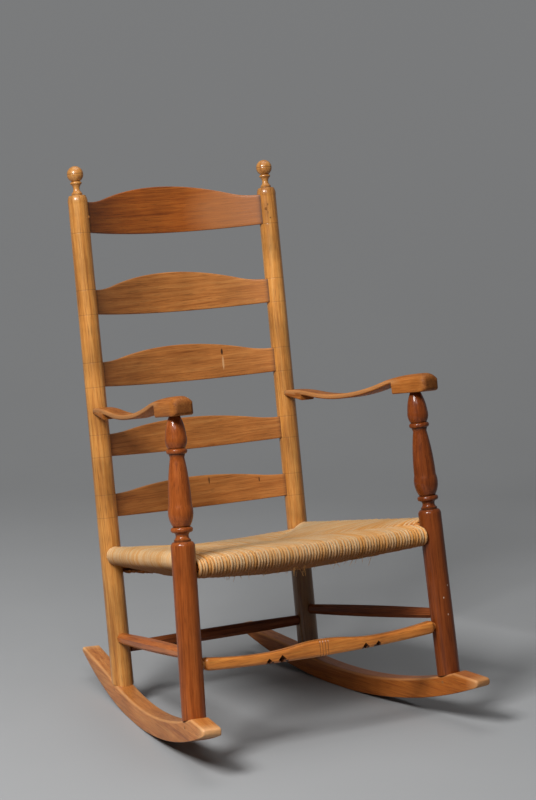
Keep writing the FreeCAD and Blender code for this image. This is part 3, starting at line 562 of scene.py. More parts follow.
@dataclass(frozen=True)
class WoodFinish:
    """Old rubbed wood: broad streaks, fibres, pores, blotches, soiled quirks, painted shade and worn edges.
    """

    light: Colour
    mid: Colour
    dark: Colour
    worn: Colour = (0.60, 0.34, 0.15)
    streak_gap: float = 0.0075
    streak_share: float = 0.5
    roughness: float = 0.36
    coat: float = 0.20
    blotch: float = 0.22
    stretch: float = 0.035
    sheen: float = 0.38
    polish: float = 0.20

    def material(
        self, name: str, grain: Vector, heart: Vector, marks: Sequence[Mark] = (), bent: bool = False
    ) -> bpy.types.Material:
        """Makes the finish for one piece.

        Args:
            name: the material's name.
            grain: the direction in which the piece's grain runs.
            heart: the point that its pattern is laid out from.
            marks: its knots, stains, fissures and painted highlights.
            bent: whether the piece carries the places that it had in the straight board.

        Returns:
            The material.
        """
        material = bpy.data.materials.new(name)
        bench = NodeBench(material)
        place = bench.add("TexCoord").outputs["Object"]
        board = bench.add("Attribute", attribute_name=Paint.GRAIN.value).outputs["Vector"] if bent else place
        turn = grain.to_track_quat("Z", "Y").to_euler()
        along = bench.add(
            "Mapping",
            {"Vector": board, "Location": heart, "Rotation": turn, "Scale": (1.0, 1.0, 1.0 / self.stretch)},
            vector_type="TEXTURE",
        ).outputs[0]
        streaks = bench.noise(along, 1.0 / self.streak_gap, 4.0, 0.55)
        fibres = bench.noise(along, 420.0, 4.0, 0.6)
        hairs = bench.noise(along, 900.0, 2.0, 0.5)
        clouds = bench.noise(place, 11.0, 3.0, 0.5)
        tone = bench.add("Mix", {0: self.streak_share, 2: fibres, 3: streaks}, data_type="FLOAT").outputs[0]
        colour = bench.ramp(tone, ((0.34, self.light), (0.50, self.mid), (0.68, self.dark)))
        shade = bench.ramp(clouds, ((0.34, (1.0 - self.blotch,)), (0.62, (1.0,))))
        colour = bench.blend(1.0, colour, shade, "MULTIPLY")
        pores = bench.ramp(hairs, ((0.30, (0.45,)), (0.44, (1.0,))))
        colour = bench.blend(0.75, colour, pores, "MULTIPLY")
        for mark in marks:
            colour = self.lay_mark(bench, place, fibres, colour, mark)
        # Soil and painted shade both darken the colour here.
        soil = bench.attribute(Paint.SOIL)
        colour = bench.blend(bench.math("MULTIPLY", soil, 0.82), colour, GRIME)
        wear = bench.math("MULTIPLY", bench.attribute(Paint.WEAR), bench.math("ADD", fibres, 0.35))
        rough = bench.math("MULTIPLY_ADD", fibres, 0.16, self.roughness - 0.08)
        rough = bench.math("MULTIPLY_ADD", wear, 0.30, rough)
        height = bench.math("MULTIPLY_ADD", pores, 0.5, fibres)
        bump = bench.add("Bump", {"Strength": 0.30, "Distance": 0.0006, "Height": height})
        bench.set(
            Base_Color=bench.blend(wear, colour, self.worn),
            Roughness=bench.math("MULTIPLY_ADD", soil, 0.25, rough),
            Specular_IOR_Level=self.sheen,
            Coat_Weight=self.coat,
            Coat_Roughness=self.polish,
            Normal=bump.outputs["Normal"],
        )
        return material

    @staticmethod
    def lay_mark(bench: NodeBench, place: Socket, fibres: Socket, colour: Socket, mark: Mark) -> Socket:
        """Lays a mark with a ragged rim over a colour.

        Args:
            bench: the material's nodes.
            place: the piece's coordinates.
            fibres: the pattern that frays the mark.
            colour: the colour under it.
            mark: the mark.

        Returns:
            The new colour.
        """
        mapped = bench.add(
            "Mapping", {"Vector": place, "Location": mark.spot, "Scale": mark.size}, vector_type="TEXTURE"
        ).outputs[0]
        ball = bench.add("TexGradient", {"Vector": mapped}, gradient_type="SPHERICAL").outputs["Fac"]
        frayed = bench.math("MULTIPLY", ball, bench.math("ADD", fibres, 0.6))
        cover = bench.ramp(frayed, ((0.10, (0.0,)), (0.55, (mark.strength,))))
        return bench.blend(cover, colour, mark.colour)


@dataclass(frozen=True)
class RushFinish:
    """Twisted rush: pale straw cords, each of its own tone, with leaf fibres, painted shade in the twist and
    on the flanks, and brown soil with painted shade below.
    """

    pale: Colour = (1.0, 0.74, 0.43)
    straw: Colour = (1.0, 0.60, 0.26)
    brown: Colour = (0.96, 0.44, 0.11)
    # The orange-brown that the cords' flanks turn to: painted shade between the cords.
    gap: Colour = (0.88, 0.34, 0.050)
    # The brown below the roll: soil, together with painted shade under the rail.
    soil: Colour = (0.34, 0.10, 0.016)
    twist_pitch: float = 0.013
    roughness: float = 0.58

    def material(self, name: str) -> bpy.types.Material:
        """Makes the cord finish, whose pattern follows each strand's own UV map.

        Args:
            name: the material's name.

        Returns:
            The material.
        """
        material = bpy.data.materials.new(name)
        bench = NodeBench(material)
        coordinates = bench.add("TexCoord")
        split = bench.add("SeparateXYZ", {0: coordinates.outputs["UV"]}).outputs
        turns = bench.math("MULTIPLY_ADD", split["Y"], 1.0 / self.twist_pitch, split["X"])
        wave = bench.math("SINE", bench.math("MULTIPLY", turns, 4 * math.pi))
        twist = bench.math("MULTIPLY_ADD", wave, 0.5, 0.5)
        around, along = bench.math("MULTIPLY", turns, 9.0), bench.math("MULTIPLY", split["Y"], 90.0)
        skew = bench.add("CombineXYZ", {0: around, 1: along})
        leaf = bench.noise(skew.outputs[0], 1.4, 3.0, 0.6)
        clouds = bench.noise(coordinates.outputs["Object"], 34.0, 3.0, 0.6)
        tone = bench.math("MULTIPLY", bench.attribute(Paint.TONE), 0.55)
        mixed = bench.math("MULTIPLY_ADD", leaf, 0.5, bench.math("MULTIPLY_ADD", clouds, 0.35, tone))
        colour = bench.ramp(mixed, ((0.38, self.brown), (0.60, self.straw), (0.84, self.pale)))
        # Painted shade in the grooves of the twist.
        groove = bench.ramp(twist, ((0.0, (0.74,)), (0.35, (1.0,))))
        colour = bench.blend(0.8, colour, groove, "MULTIPLY")
        # Painted shade: each cord darkens towards its flanks.
        deep = bench.math("POWER", bench.attribute(Paint.GAP), 1.6)
        colour = bench.blend(bench.math("MULTIPLY", deep, 0.90), colour, self.gap)
        # Soil with painted shade, below the rail's roll.
        colour = bench.blend(bench.math("MULTIPLY", bench.attribute(Paint.SOIL), 0.8), colour, self.soil)
        height = bench.math("MULTIPLY_ADD", leaf, 0.45, twist)
        bump = bench.add("Bump", {"Strength": 0.75, "Distance": 0.0012, "Height": height})
        bench.set(
            Base_Color=colour,
            Roughness=bench.math("MULTIPLY_ADD", leaf, 0.25, self.roughness - 0.12),
            Specular_IOR_Level=0.20,
            Normal=bump.outputs["Normal"],
        )
        return material


HONEY = WoodFinish(
    light=(0.76, 0.37, 0.100), mid=(0.60, 0.245, 0.050), dark=(0.36, 0.122, 0.020),
    roughness=0.30, coat=0.55, blotch=0.34, streak_share=0.6, sheen=0.26, polish=0.11,
)
RUSSET = WoodFinish(
    light=(0.38, 0.100, 0.019), mid=(0.29, 0.067, 0.010), dark=(0.16, 0.031, 0.004),
    roughness=0.34, coat=0.42, sheen=0.08, polish=0.09,
)
# A darker copy of RUSSET: painted shade for the right front post.
UMBER = WoodFinish(
    light=(0.25, 0.060, 0.011), mid=(0.18, 0.038, 0.006), dark=(0.09, 0.017, 0.002),
    roughness=0.34, coat=0.42, sheen=0.08, polish=0.09,
)
CREST = WoodFinish(
    light=(0.42, 0.125, 0.018), mid=(0.32, 0.080, 0.009), dark=(0.17, 0.034, 0.003), roughness=0.34
)
SLAT = WoodFinish(light=(0.54, 0.222, 0.058), mid=(0.43, 0.153, 0.034), dark=(0.26, 0.076, 0.013))
ARM = WoodFinish(
    light=(0.47, 0.170, 0.036), mid=(0.34, 0.107, 0.019), dark=(0.18, 0.047, 0.007),
    roughness=0.44, coat=0.02, sheen=0.14,
)
YOKE = WoodFinish(
    light=(0.72, 0.275, 0.054), mid=(0.60, 0.198, 0.034), dark=(0.38, 0.100, 0.015), coat=0.12
)
SHAVED = WoodFinish(
    light=(0.60, 0.190, 0.036), mid=(0.48, 0.128, 0.020), dark=(0.28, 0.060, 0.009), coat=0.08
)
# A darker, duller copy of SHAVED: painted shade for the back stretcher, the front and back seat rails and the
# right-hand sticks.
DUSK = WoodFinish(
    light=(0.26, 0.075, 0.019), mid=(0.18, 0.044, 0.010), dark=(0.09, 0.020, 0.004),
    roughness=0.50, coat=0.0, sheen=0.20,
)
ROCKER = WoodFinish(
    light=(0.66, 0.275, 0.070), mid=(0.54, 0.185, 0.038), dark=(0.34, 0.092, 0.015),
    worn=(0.78, 0.47, 0.22), roughness=0.42, coat=0.12,
)
# A darker, redder copy of ROCKER for the right rocker: painted shade, with a redder tone of its own.
EMBER = WoodFinish(
    light=(0.48, 0.158, 0.028), mid=(0.39, 0.110, 0.015), dark=(0.23, 0.053, 0.006),
    worn=(0.66, 0.36, 0.15), roughness=0.44, coat=0.08, sheen=0.26,
)
PEG = WoodFinish(
    light=(0.44, 0.19, 0.05), mid=(0.33, 0.125, 0.03), dark=(0.18, 0.06, 0.012), streak_gap=0.004
)
# A near-black finish for the faces inside the notches: painted shade.
NOTCH = WoodFinish(
    light=(0.10, 0.032, 0.009), mid=(0.06, 0.017, 0.004), dark=(0.03, 0.008, 0.002), coat=0.0
)
RUSH = RushFinish()
STUFFING = RushFinish(pale=(0.72, 0.34, 0.09), straw=(0.60, 0.24, 0.055), brown=(0.44, 0.15, 0.03))


@dataclass(frozen=True)
class Stance:
    """The square frame of the chair, and how it leans back on the rockers."""

    lean: float = math.radians(10.5)
    back_foot: tuple[float, float, float] = (0.0, 0.14428, 0.04703)
    depth: float = 0.435
    back_half: float = 0.2295
    front_half: float = 0.288
    splay: float = math.radians(1.85)
    splay_height: float = 0.256

    def matrix(self) -> Matrix:
        """Gives the move from the square frame to the standing chair."""
        return Matrix.Translation(self.back_foot) @ Matrix.Rotation(-self.lean, 4, "X")

    def back_axis(self, side: Side, height: float) -> Vector:
        """Gives a point on a back post's axis in the square frame."""
        return Vector((side.value * self.back_half, 0.0, height))

    def front_axis(self, side: Side, height: float) -> Vector:
        """Gives a point on a front post's axis in the square frame."""
        reach = self.front_half + math.tan(self.splay) * (self.splay_height - height)
        return Vector((side.value * reach, -self.depth, height))

    def up(self) -> Vector:
        """Gives the direction of the back posts."""
        return self.matrix().to_3x3() @ Vector((0.0, 0.0, 1.0))


class Assembly:
    """What the chair's sub-assemblies share: their stance and how a piece is handed in."""

    stance: Stance

    @staticmethod
    def hand_in(piece: bpy.types.Object, material: bpy.types.Material, slot: str, *nodes: str) -> None:
        """Gives a piece its finish and lets it stand for CAD nodes.

        Args:
            piece: the finished object.
            material: its material.
            slot: the name of a slot for it; not used.
            nodes: the CAD nodes that it replaces.
        """
        piece.data.materials.clear()
        piece.data.materials.append(material)
        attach(piece, "root")
        if nodes:
            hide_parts(*nodes)
        LOG.info("%s: %d faces", piece.name, len(piece.data.polygons))


@dataclass
class Rockers(Assembly):
    """The two toed-out rockers, each an arc with a tapered tail and a sloped, worn nose."""

    stance: Stance
    radius: float = 1.0
    deep: float = 0.040
    half_width: float = 0.020
    touch: float = 0.116
    flat: float = 0.060
    tail: float = 0.220
    tail_start: float = 0.040
    tail_deep: float = 0.0095
    nose: float = 0.5386
    nose_start: float = 0.4706
    nose_deep: float = 0.014
    nose_round: float = 0.008
    nose_tuck: float = 0.004
    top_round: float = 0.0052
    low_round: float = 0.0016
    toe: float = math.radians(8.885)
    front_run: float = 0.4386

    def low(self, along: float) -> float:
        """Gives the height of the underside."""
        sag = self.radius - math.sqrt(self.radius**2 - (self.flat / 2) ** 2)
        return max(self.radius - sag - math.sqrt(self.radius**2 - (along - self.touch) ** 2), 0.0)

    def arc_top(self, along: float) -> float:
        """Gives the height of the top arc, which the posts stand on."""
        return self.radius - math.sqrt((self.radius - self.deep) ** 2 - (along - self.touch) ** 2)

    def high(self, along: float) -> float:
        """Gives the height of the top, with the tail and the nose sloped off.

        Args:
            along: the length along the rocker.

        Returns:
            The height.
        """
        if along < -self.tail_start:
            share = (along + self.tail) / (self.tail - self.tail_start)
            end = self.low(-self.tail) + self.tail_deep
            return end + (self.arc_top(-self.tail_start) - end) * share
        if along > self.nose_start:
            share = (along - self.nose_start) / (self.nose - self.nose_start)
            end = self.low(self.nose) + self.nose_deep
            return self.arc_top(self.nose_start) + (end - self.arc_top(self.nose_start)) * share
        return self.arc_top(along)

    def place(self, side: Side) -> Matrix:
        """Gives the place of a rocker, whose X axis runs forward along it."""
        foot = Vector((side.value * self.stance.back_half, self.stance.back_foot[1], 0.0))
        forward = Vector((side.value * math.sin(self.toe), -math.cos(self.toe), 0.0))
        return Matrix.Translation(foot) @ facing(forward)

    def foot_plane(self, side: Side, along: float) -> tuple[Vector, Vector]:
        """Gives a point on a rocker's top and the direction straight out of it.

        Args:
            side: which rocker.
            along: the length along it.

        Returns:
            The point and the direction, in the room.
        """
        spot = Vector((along, 0.0, self.arc_top(along)))
        out = Vector((self.touch - along, 0.0, self.radius - spot.z)).normalized()
        place = self.place(side)
        return place @ spot, place.to_3x3() @ out

    def stations(self) -> list[float]:
        """Gives the lengths along a rocker at which its section is set."""
        inner = [-self.tail + (self.tail + self.nose) * step / 72 for step in range(1, 72)]
        tips = [-self.tail, -self.tail + 0.002]
        tips += [self.nose - inset for inset in (0.006, 0.0025, 0.0008, 0.0)]
        corners = [-self.tail_start, self.nose_start, self.touch - self.flat / 2, self.touch + self.flat / 2]
        return sorted(inner + tips + corners)

    def section(self, along: float) -> Section:
        """Gives the section of a rocker at a length along it."""
        past = max(along - (self.nose - self.nose_round), 0.0) / self.nose_round
        tuck = self.nose_tuck * round_off(past)
        low, high = self.low(along) + tuck, self.high(along) - tuck
        return rounded_section(self.half_width - tuck, low, high, self.top_round, self.low_round)

    def build(self) -> None:
        """Shapes, wears and dresses both rockers."""
        for side in Side:
            piece = sleeve(f"{side.word}_rocker_board", self.stations(), self.section)
            paint(piece, Paint.WEAR, self.wear)
            paint(piece, Paint.SOIL, self.soil)
            place = self.place(side)
            set_in_place(piece, place)
            soften(piece)
            forward = place.to_3x3() @ Vector((1.0, 0.02, 0.03))
            heart = place @ Vector((0.1, 0.014 * side.value, 0.115))
            # The right rocker gets the darker copy, partly as painted shade.
            finish = EMBER if side is Side.RIGHT else ROCKER
            material = finish.material(f"{side.word}_rocker_wood", forward, heart)
            self.hand_in(piece, material, "rocker_wood", f"{side.word}_rocker")

    def wear(self, point: Vector) -> float:
        """Gives the wear: the upper edges, the nose and the tail.

        Args:
            point: a point of the rocker, before it is set in place.

        Returns:
            The wear, from 0 up.
        """
        edge = max(abs(point.y) - 0.0145, 0.0) / 0.0055
        top = max(point.z - self.high(point.x) + 0.0050, 0.0) / 0.0050
        tip = max(point.x - self.nose + 0.030, 0.0) / 0.030
        tail = max(-self.tail + 0.020 - point.x, 0.0) / 0.020
        return 0.75 * edge * top + 0.55 * tip + 0.5 * tail

    def soil(self, point: Vector) -> float:
        """Gives the soil of the underside."""
        return 0.55 if point.z < self.low(point.x) + 0.0015 else 0.0


@dataclass
class BackPosts(Assembly):
    """The two tapered back posts with their scribed rings, turned necks, collars and ball finials."""

    stance: Stance
    rockers: Rockers
    foot: float = -0.040
    foot_radius: float = 0.023
    shade_rings: tuple[float, ...] = (0.235, 0.260, 0.285)
    top_radius: float = 0.0205
    shoulder: float = 1.005
    cap: float = 1.023
    cap_radius: float = 0.0175
    cap_bend: float = 0.026
    neck: float = 1.028
    neck_radius: float = 0.0115
    neck_bend: float = 0.012
    collar: float = 1.047
    collar_top: float = 1.0515
    collar_radius: float = 0.01125
    collar_bend: float = 0.00315
    ball: float = 1.068
    ball_radius: float = 0.01725
    ball_foot: float = 0.0085
    ball_tip: float = 0.0003
    groove_half: float = 0.0009
    groove_rim: float = 0.01722
    groove_radius: float = 0.0169
    scribes: tuple[float, ...] = (
        0.3465, 0.3945, 0.4735, 0.5205, 0.620, 0.672, 0.772, 0.824, 0.944,
    )
    scratches: tuple[Mark, ...] = (
        Mark((0.2195, 0.3040, 1.0200), (0.0022, 0.004, 0.0050), SCORCH, 0.8),
        Mark((0.2190, 0.3010, 1.0030), (0.0016, 0.004, 0.0060), SCORCH, 0.7),
        Mark((0.2225, 0.2975, 0.9910), (0.0030, 0.004, 0.0030), SCORCH, 0.8),
        Mark((0.2190, 0.2965, 0.9840), (0.0015, 0.004, 0.0055), SCORCH, 0.7),
    )

    def radius_at(self, height: float) -> float:
        """Gives the post's radius at a height."""
        return self.foot_radius + (self.top_radius - self.foot_radius) * height / self.shoulder

    def outline(self) -> Turning:
        """Draws the post's outline."""
        turning = Turning().line(self.foot_radius, self.foot).line(self.foot_radius, 0.0)
        for height in self.shade_rings:
            turning.line(self.radius_at(height), height)
        for height in self.scribes:
            turning.scribe(self.radius_at(height), height)
        turning.line(self.top_radius, self.shoulder)
        turning.curve(self.cap_radius, self.cap, self.cap_bend)
        turning.line(self.neck_radius, self.cap, 0.8).line(self.neck_radius, self.neck, 0.3)
        turning.curve(self.collar_radius, self.collar, self.neck_bend, Bend.HOLLOW, soil=0.6, steps=10)
        turning.curve(self.collar_radius, self.collar_top, self.collar_bend, steps=6)
        turning.line(self.ball_foot, self.ball - math.sqrt(self.ball_radius**2 - self.ball_foot**2), 0.8)
        turning.curve(self.groove_rim, self.ball - self.groove_half, self.ball_radius, steps=11)
        turning.line(self.groove_radius, self.ball, 0.9).line(self.groove_rim, self.ball + self.groove_half)
        return turning.curve(self.ball_tip, self.ball + self.ball_radius, self.ball_radius, steps=12)

    def build(self) -> None:
        """Turns, trims and dresses both posts."""
        for side in Side:
            turning = self.outline()
            piece = turning.build(f"{side.word}_back_post_turning")
            # The right post gets painted shadow under the seat.
            shelter = self.shelter if side is Side.RIGHT else self.handled
            paint(piece, Paint.SOIL, lambda point: max(turning.soil_at(point), shelter(point.z)))
            set_in_place(piece, self.stance.matrix() @ Matrix.Translation(self.stance.back_axis(side, 0.0)))
            trim_foot(piece, *self.rockers.foot_plane(side, 0.0))
            soften(piece)
            aside = Vector((0.03 * side.value, 0.055, 0.0))
            heart = self.stance.matrix() @ (self.stance.back_axis(side, 0.5) + aside)
            tilted = self.stance.up() + Vector((0.012 * side.value, 0.01, 0.0))
            marks = self.scratches if side is Side.RIGHT else ()
            material = HONEY.material(f"{side.word}_back_post_wood", tilted, heart, marks)
            self.hand_in(piece, material, "back_post_wood", f"{side.word}_back_post")

    def handled(self, height: float) -> float:
        """Gives the darkening of the posts' lower half and of the finials."""
        finial = clamp((height - self.shoulder) / 0.010)
        return max(0.15 * clamp((0.90 - height) / 0.45), 0.30 * finial)

    def shelter(self, height: float) -> float:
        """Gives painted shadow under the seat, over the darkening below and on the finial."""
        # Painted shadow of the seat on the post below 0.285 m.
        return max(self.handled(height), 0.82 * clamp((0.285 - height) / 0.05))


@dataclass
class FrontPosts(Assembly):
    """The two front posts: a round leg, a cove, two rings, a baluster and an urn under the arm."""

    stance: Stance
    rockers: Rockers
    foot: float = -0.065
    leg_radius: float = LEG_RADIUS
    leg_top: float = 0.300
    shoulder: float = 0.309
    shoulder_bend: float = 0.011
    cove: float = 0.313
    cove_radius: float = 0.0165
    cove_bend: float = 0.0085
    quirk_radius: float = 0.016
    low_ring: float = 0.327
    low_ring_radius: float = 0.0185
    baluster: float = 0.380
    baluster_radius: float = 0.02235
    baluster_bend: float = 0.052
    taper: float = 0.470
    taper_radius: float = 0.014
    taper_bend: float = 0.520
    high_ring: float = 0.477
    high_ring_radius: float = 0.0175
    ring_height: float = 0.010
    ring_bend: float = 0.0056
    urn: float = 0.511
    urn_radius: float = 0.0206
    urn_bend: float = 0.030
    urn_top_radius: float = 0.01125
    urn_top_bend: float = 0.105
    arm_seat: float = 0.549
    arm_gap: float = 0.0005
    tenon_radius: float = 0.010
    tenon_show: float = 0.003

    def ring(self, turning: Turning, radius: float, low: float) -> None:
        """Draws one of the two rings, with soil in the quirks beside it.

        Args:
            turning: the outline so far.
            radius: the ring's radius at its two edges.
            low: the height of its lower edge.
        """
        high = low + self.ring_height
        turning.line(radius, low, 0.4).curve(radius, high, self.ring_bend, soil=0.4, steps=9)
        turning.line(self.quirk_radius, high, 1.0)

    def outline(self) -> Turning:
        """Draws the post's outline."""
        turning = Turning().line(self.leg_radius, self.foot).line(self.leg_radius, self.leg_top)
        turning.curve(self.low_ring_radius, self.shoulder, self.shoulder_bend)
        turning.line(self.cove_radius, self.shoulder, 0.9).line(self.cove_radius, self.cove, 0.5)
        turning.curve(self.quirk_radius, self.low_ring, self.cove_bend, Bend.HOLLOW, soil=0.9, steps=9)
        self.ring(turning, self.low_ring_radius, self.low_ring)
        turning.curve(self.baluster_radius, self.baluster, self.baluster_bend, steps=11)
        turning.curve(self.taper_radius, self.taper, self.taper_bend, steps=12)
        turning.line(self.quirk_radius, self.high_ring, 0.9)
        self.ring(turning, self.high_ring_radius, self.high_ring)
        turning.curve(self.urn_radius, self.urn, self.urn_bend, steps=10)
        urn_top = self.arm_seat - self.arm_gap
        turning.curve(self.urn_top_radius, urn_top, self.urn_top_bend, steps=9, soil=0.7)
        return turning.line(self.tenon_radius, self.arm_seat + self.tenon_show)

    def build(self) -> None:
        """Turns, trims and dresses both posts."""
        for side in Side:
            piece = self.outline().build(f"{side.word}_front_post_turning")
            foot, top = self.stance.front_axis(side, 0.0), self.stance.front_axis(side, 1.0)
            rise = (top - foot).normalized()
            upright = Matrix.Translation(foot) @ rise.to_track_quat("Z", "Y").to_matrix().to_4x4()
            set_in_place(piece, self.stance.matrix() @ upright)
            trim_foot(piece, *self.rockers.foot_plane(side, self.rockers.front_run))
            soften(piece)
            heart = self.stance.matrix() @ (foot + Vector((-0.05 * side.value, 0.045, 0.2)))
            direction = self.stance.matrix().to_3x3() @ (rise + Vector((0.010, -0.008, 0.0)))
            # The right post gets the darker copy as painted shade.
            finish = UMBER if side is Side.RIGHT else RUSSET
            material = finish.material(f"{side.word}_front_post_wood", direction, heart, self.nicks(side))
            self.hand_in(piece, material, "front_post_wood", f"{side.word}_front_post")

    def nicks(self, side: Side) -> list[Mark]:
        """Gives the pale nicks low on the right leg.

        Args:
            side: which leg.

        Returns:
            Its marks, none on the left.
        """
        if side is Side.LEFT:
            return []
        marks = []
        size, pale = (0.0016, 0.0016, 0.0026), (0.62, 0.45, 0.33)
        for height, turn in ((0.152, -72), (0.128, -104), (0.093, -90)):
            angle = math.radians(turn)
            spot = self.stance.front_axis(side, height)
            spot += Vector((math.cos(angle), math.sin(angle), 0.0)) * self.leg_radius
            marks.append(Mark(tuple(self.stance.matrix() @ spot), size, pale))
        return marks


@dataclass(frozen=True)
class SlatSize:
    """One slat's place and sizes."""

    word: str
    base: float
    end: float
    rise: float
    bow: float
    finish: WoodFinish
    slot: str
    heart: tuple[float, float, float]
    marks: tuple[Mark, ...] = ()


@dataclass
class Slats(Assembly):
    """The five bowed slats, each with a swept crest and a slightly bellied lower edge."""

    stance: Stance
    clear: float = 0.2065
    sweep: float = 0.204
    swell: float = 0.155
    belly: float = 0.0035
    thickness: float = 0.008
    tenon_end: float = 0.010
    edge_round: float = 0.0022
    columns: int = 84
    rows: int = 10
    sizes: tuple[SlatSize, ...] = (
        SlatSize(
            "top", 0.944, 0.065, 0.0325, 0.058, CREST, "top_slat_wood", (0.0, 0.10, 0.02),
            # A pale patch over the top slat's right part: a painted highlight.
            (Mark((0.175, 0.345, 1.000), (0.150, 0.15, 0.100), (0.44, 0.19, 0.075), 0.45),),
        ),
        SlatSize("second", 0.772, 0.052, 0.031, 0.054, SLAT, "slat_wood", (0.0, 0.115, 0.055)),
        SlatSize(
            "third", 0.620, 0.052, 0.0245, 0.042, SLAT, "slat_wood", (0.0, 0.095, 0.01),
            (
                Mark((0.097, 0.2955, 0.7040), (0.0032, 0.008, 0.0090), SCORCH, 0.95),
                Mark((0.098, 0.2915, 0.6800), (0.0030, 0.010, 0.0200), (0.66, 0.40, 0.20), 0.6),
            ),
        ),
        SlatSize("fourth", 0.4735, 0.047, 0.0185, 0.034, SLAT, "slat_wood", (0.0, 0.09, 0.05)),
        SlatSize(
            "fifth", 0.3465, 0.048, 0.016, 0.034, SLAT, "slat_wood", (0.0, 0.085, 0.02),
            (
                Mark((0.036, 0.2454, 0.4330), (0.0022, 0.010, 0.010), SCORCH),
                Mark((0.151, 0.2269, 0.4268), (0.0020, 0.010, 0.007), SCORCH),
            ),
        ),
    )

    def crest(self, size: SlatSize, x: float) -> float:
        """Gives the height of a slat's top above its base.

        Args:
            size: the slat.
            x: the place across the chair.

        Returns:
            The height.
        """
        spread = arc_radius(self.sweep, size.rise) / self.sweep
        hump, hollow = self.swell * spread, (self.sweep - self.swell) * spread
        reach = abs(x)
        if reach >= self.sweep:
            return size.end
        if reach > self.swell:
            return size.end + hollow - math.sqrt(hollow**2 - (self.sweep - reach) ** 2)
        return size.end + size.rise - hump + math.sqrt(hump**2 - reach**2)

    def foot(self, x: float) -> float:
        """Gives the height of a slat's lower edge above its base."""
        radius = arc_radius(self.clear, self.belly)
        return min(-self.belly + radius - math.sqrt(radius**2 - x**2), 0.0)

    def depth(self, size: SlatSize, x: float) -> float:
        """Gives how far back a slat's middle layer is."""
        radius = arc_radius(self.clear, size.bow)
        return size.bow - radius + math.sqrt(radius**2 - x**2)

    def flatten(self, size: SlatSize, point: Vector) -> Vector:
        """Gives where a point of a bowed slat was in the straight board."""
        radius = arc_radius(self.clear, size.bow)
        return Vector((radius * math.asin(point.x / radius), point.y - self.depth(size, point.x), point.z))

    def soil(self, point: Vector) -> float:
        """Gives the soil at the ends by the posts, and painted shade over the left side."""
        end = 0.8 * max(abs(point.x) - self.clear + 0.004, 0.0) / 0.006
        # Painted shade darkens the left side, towards the left post.
        return max(end, 0.32 * clamp((-0.06 - point.x) / 0.14))

    def build(self) -> None:
        """Shapes and dresses the five slats."""
        reach, sharp = self.clear + self.tenon_end, math.radians(50)
        for size in self.sizes:
            piece = new_grid(f"{size.word}_slat_board", self.columns, self.rows)
            for index, vertex in enumerate(piece.data.vertices):
                row, column = divmod(index, self.columns + 1)
                x = -reach + 2 * reach * column / self.columns
                low, high = self.foot(x), self.crest(size, x)
                vertex.co = (x, self.depth(size, x), size.base + low + (high - low) * row / self.rows)
            apply_modifier(piece, "SOLIDIFY", thickness=self.thickness, offset=0.0)
            apply_modifier(
                piece, "BEVEL", width=self.edge_round, segments=3, limit_method="ANGLE", angle_limit=sharp
            )
            close_mesh(piece)
            paint(piece, Paint.SOIL, self.soil)
            lay_grain(piece, lambda point, size=size: self.flatten(size, point))
            set_in_place(piece, self.stance.matrix())
            soften(piece)
            heart = Vector(size.heart) + Vector((0.0, 0.0, size.base))
            material = size.finish.material(
                f"{size.word}_slat_wood", Vector((1.0, 0.01, 0.03)), heart, size.marks, bent=True
            )
            self.hand_in(piece, material, size.slot, f"{size.word}_slat")


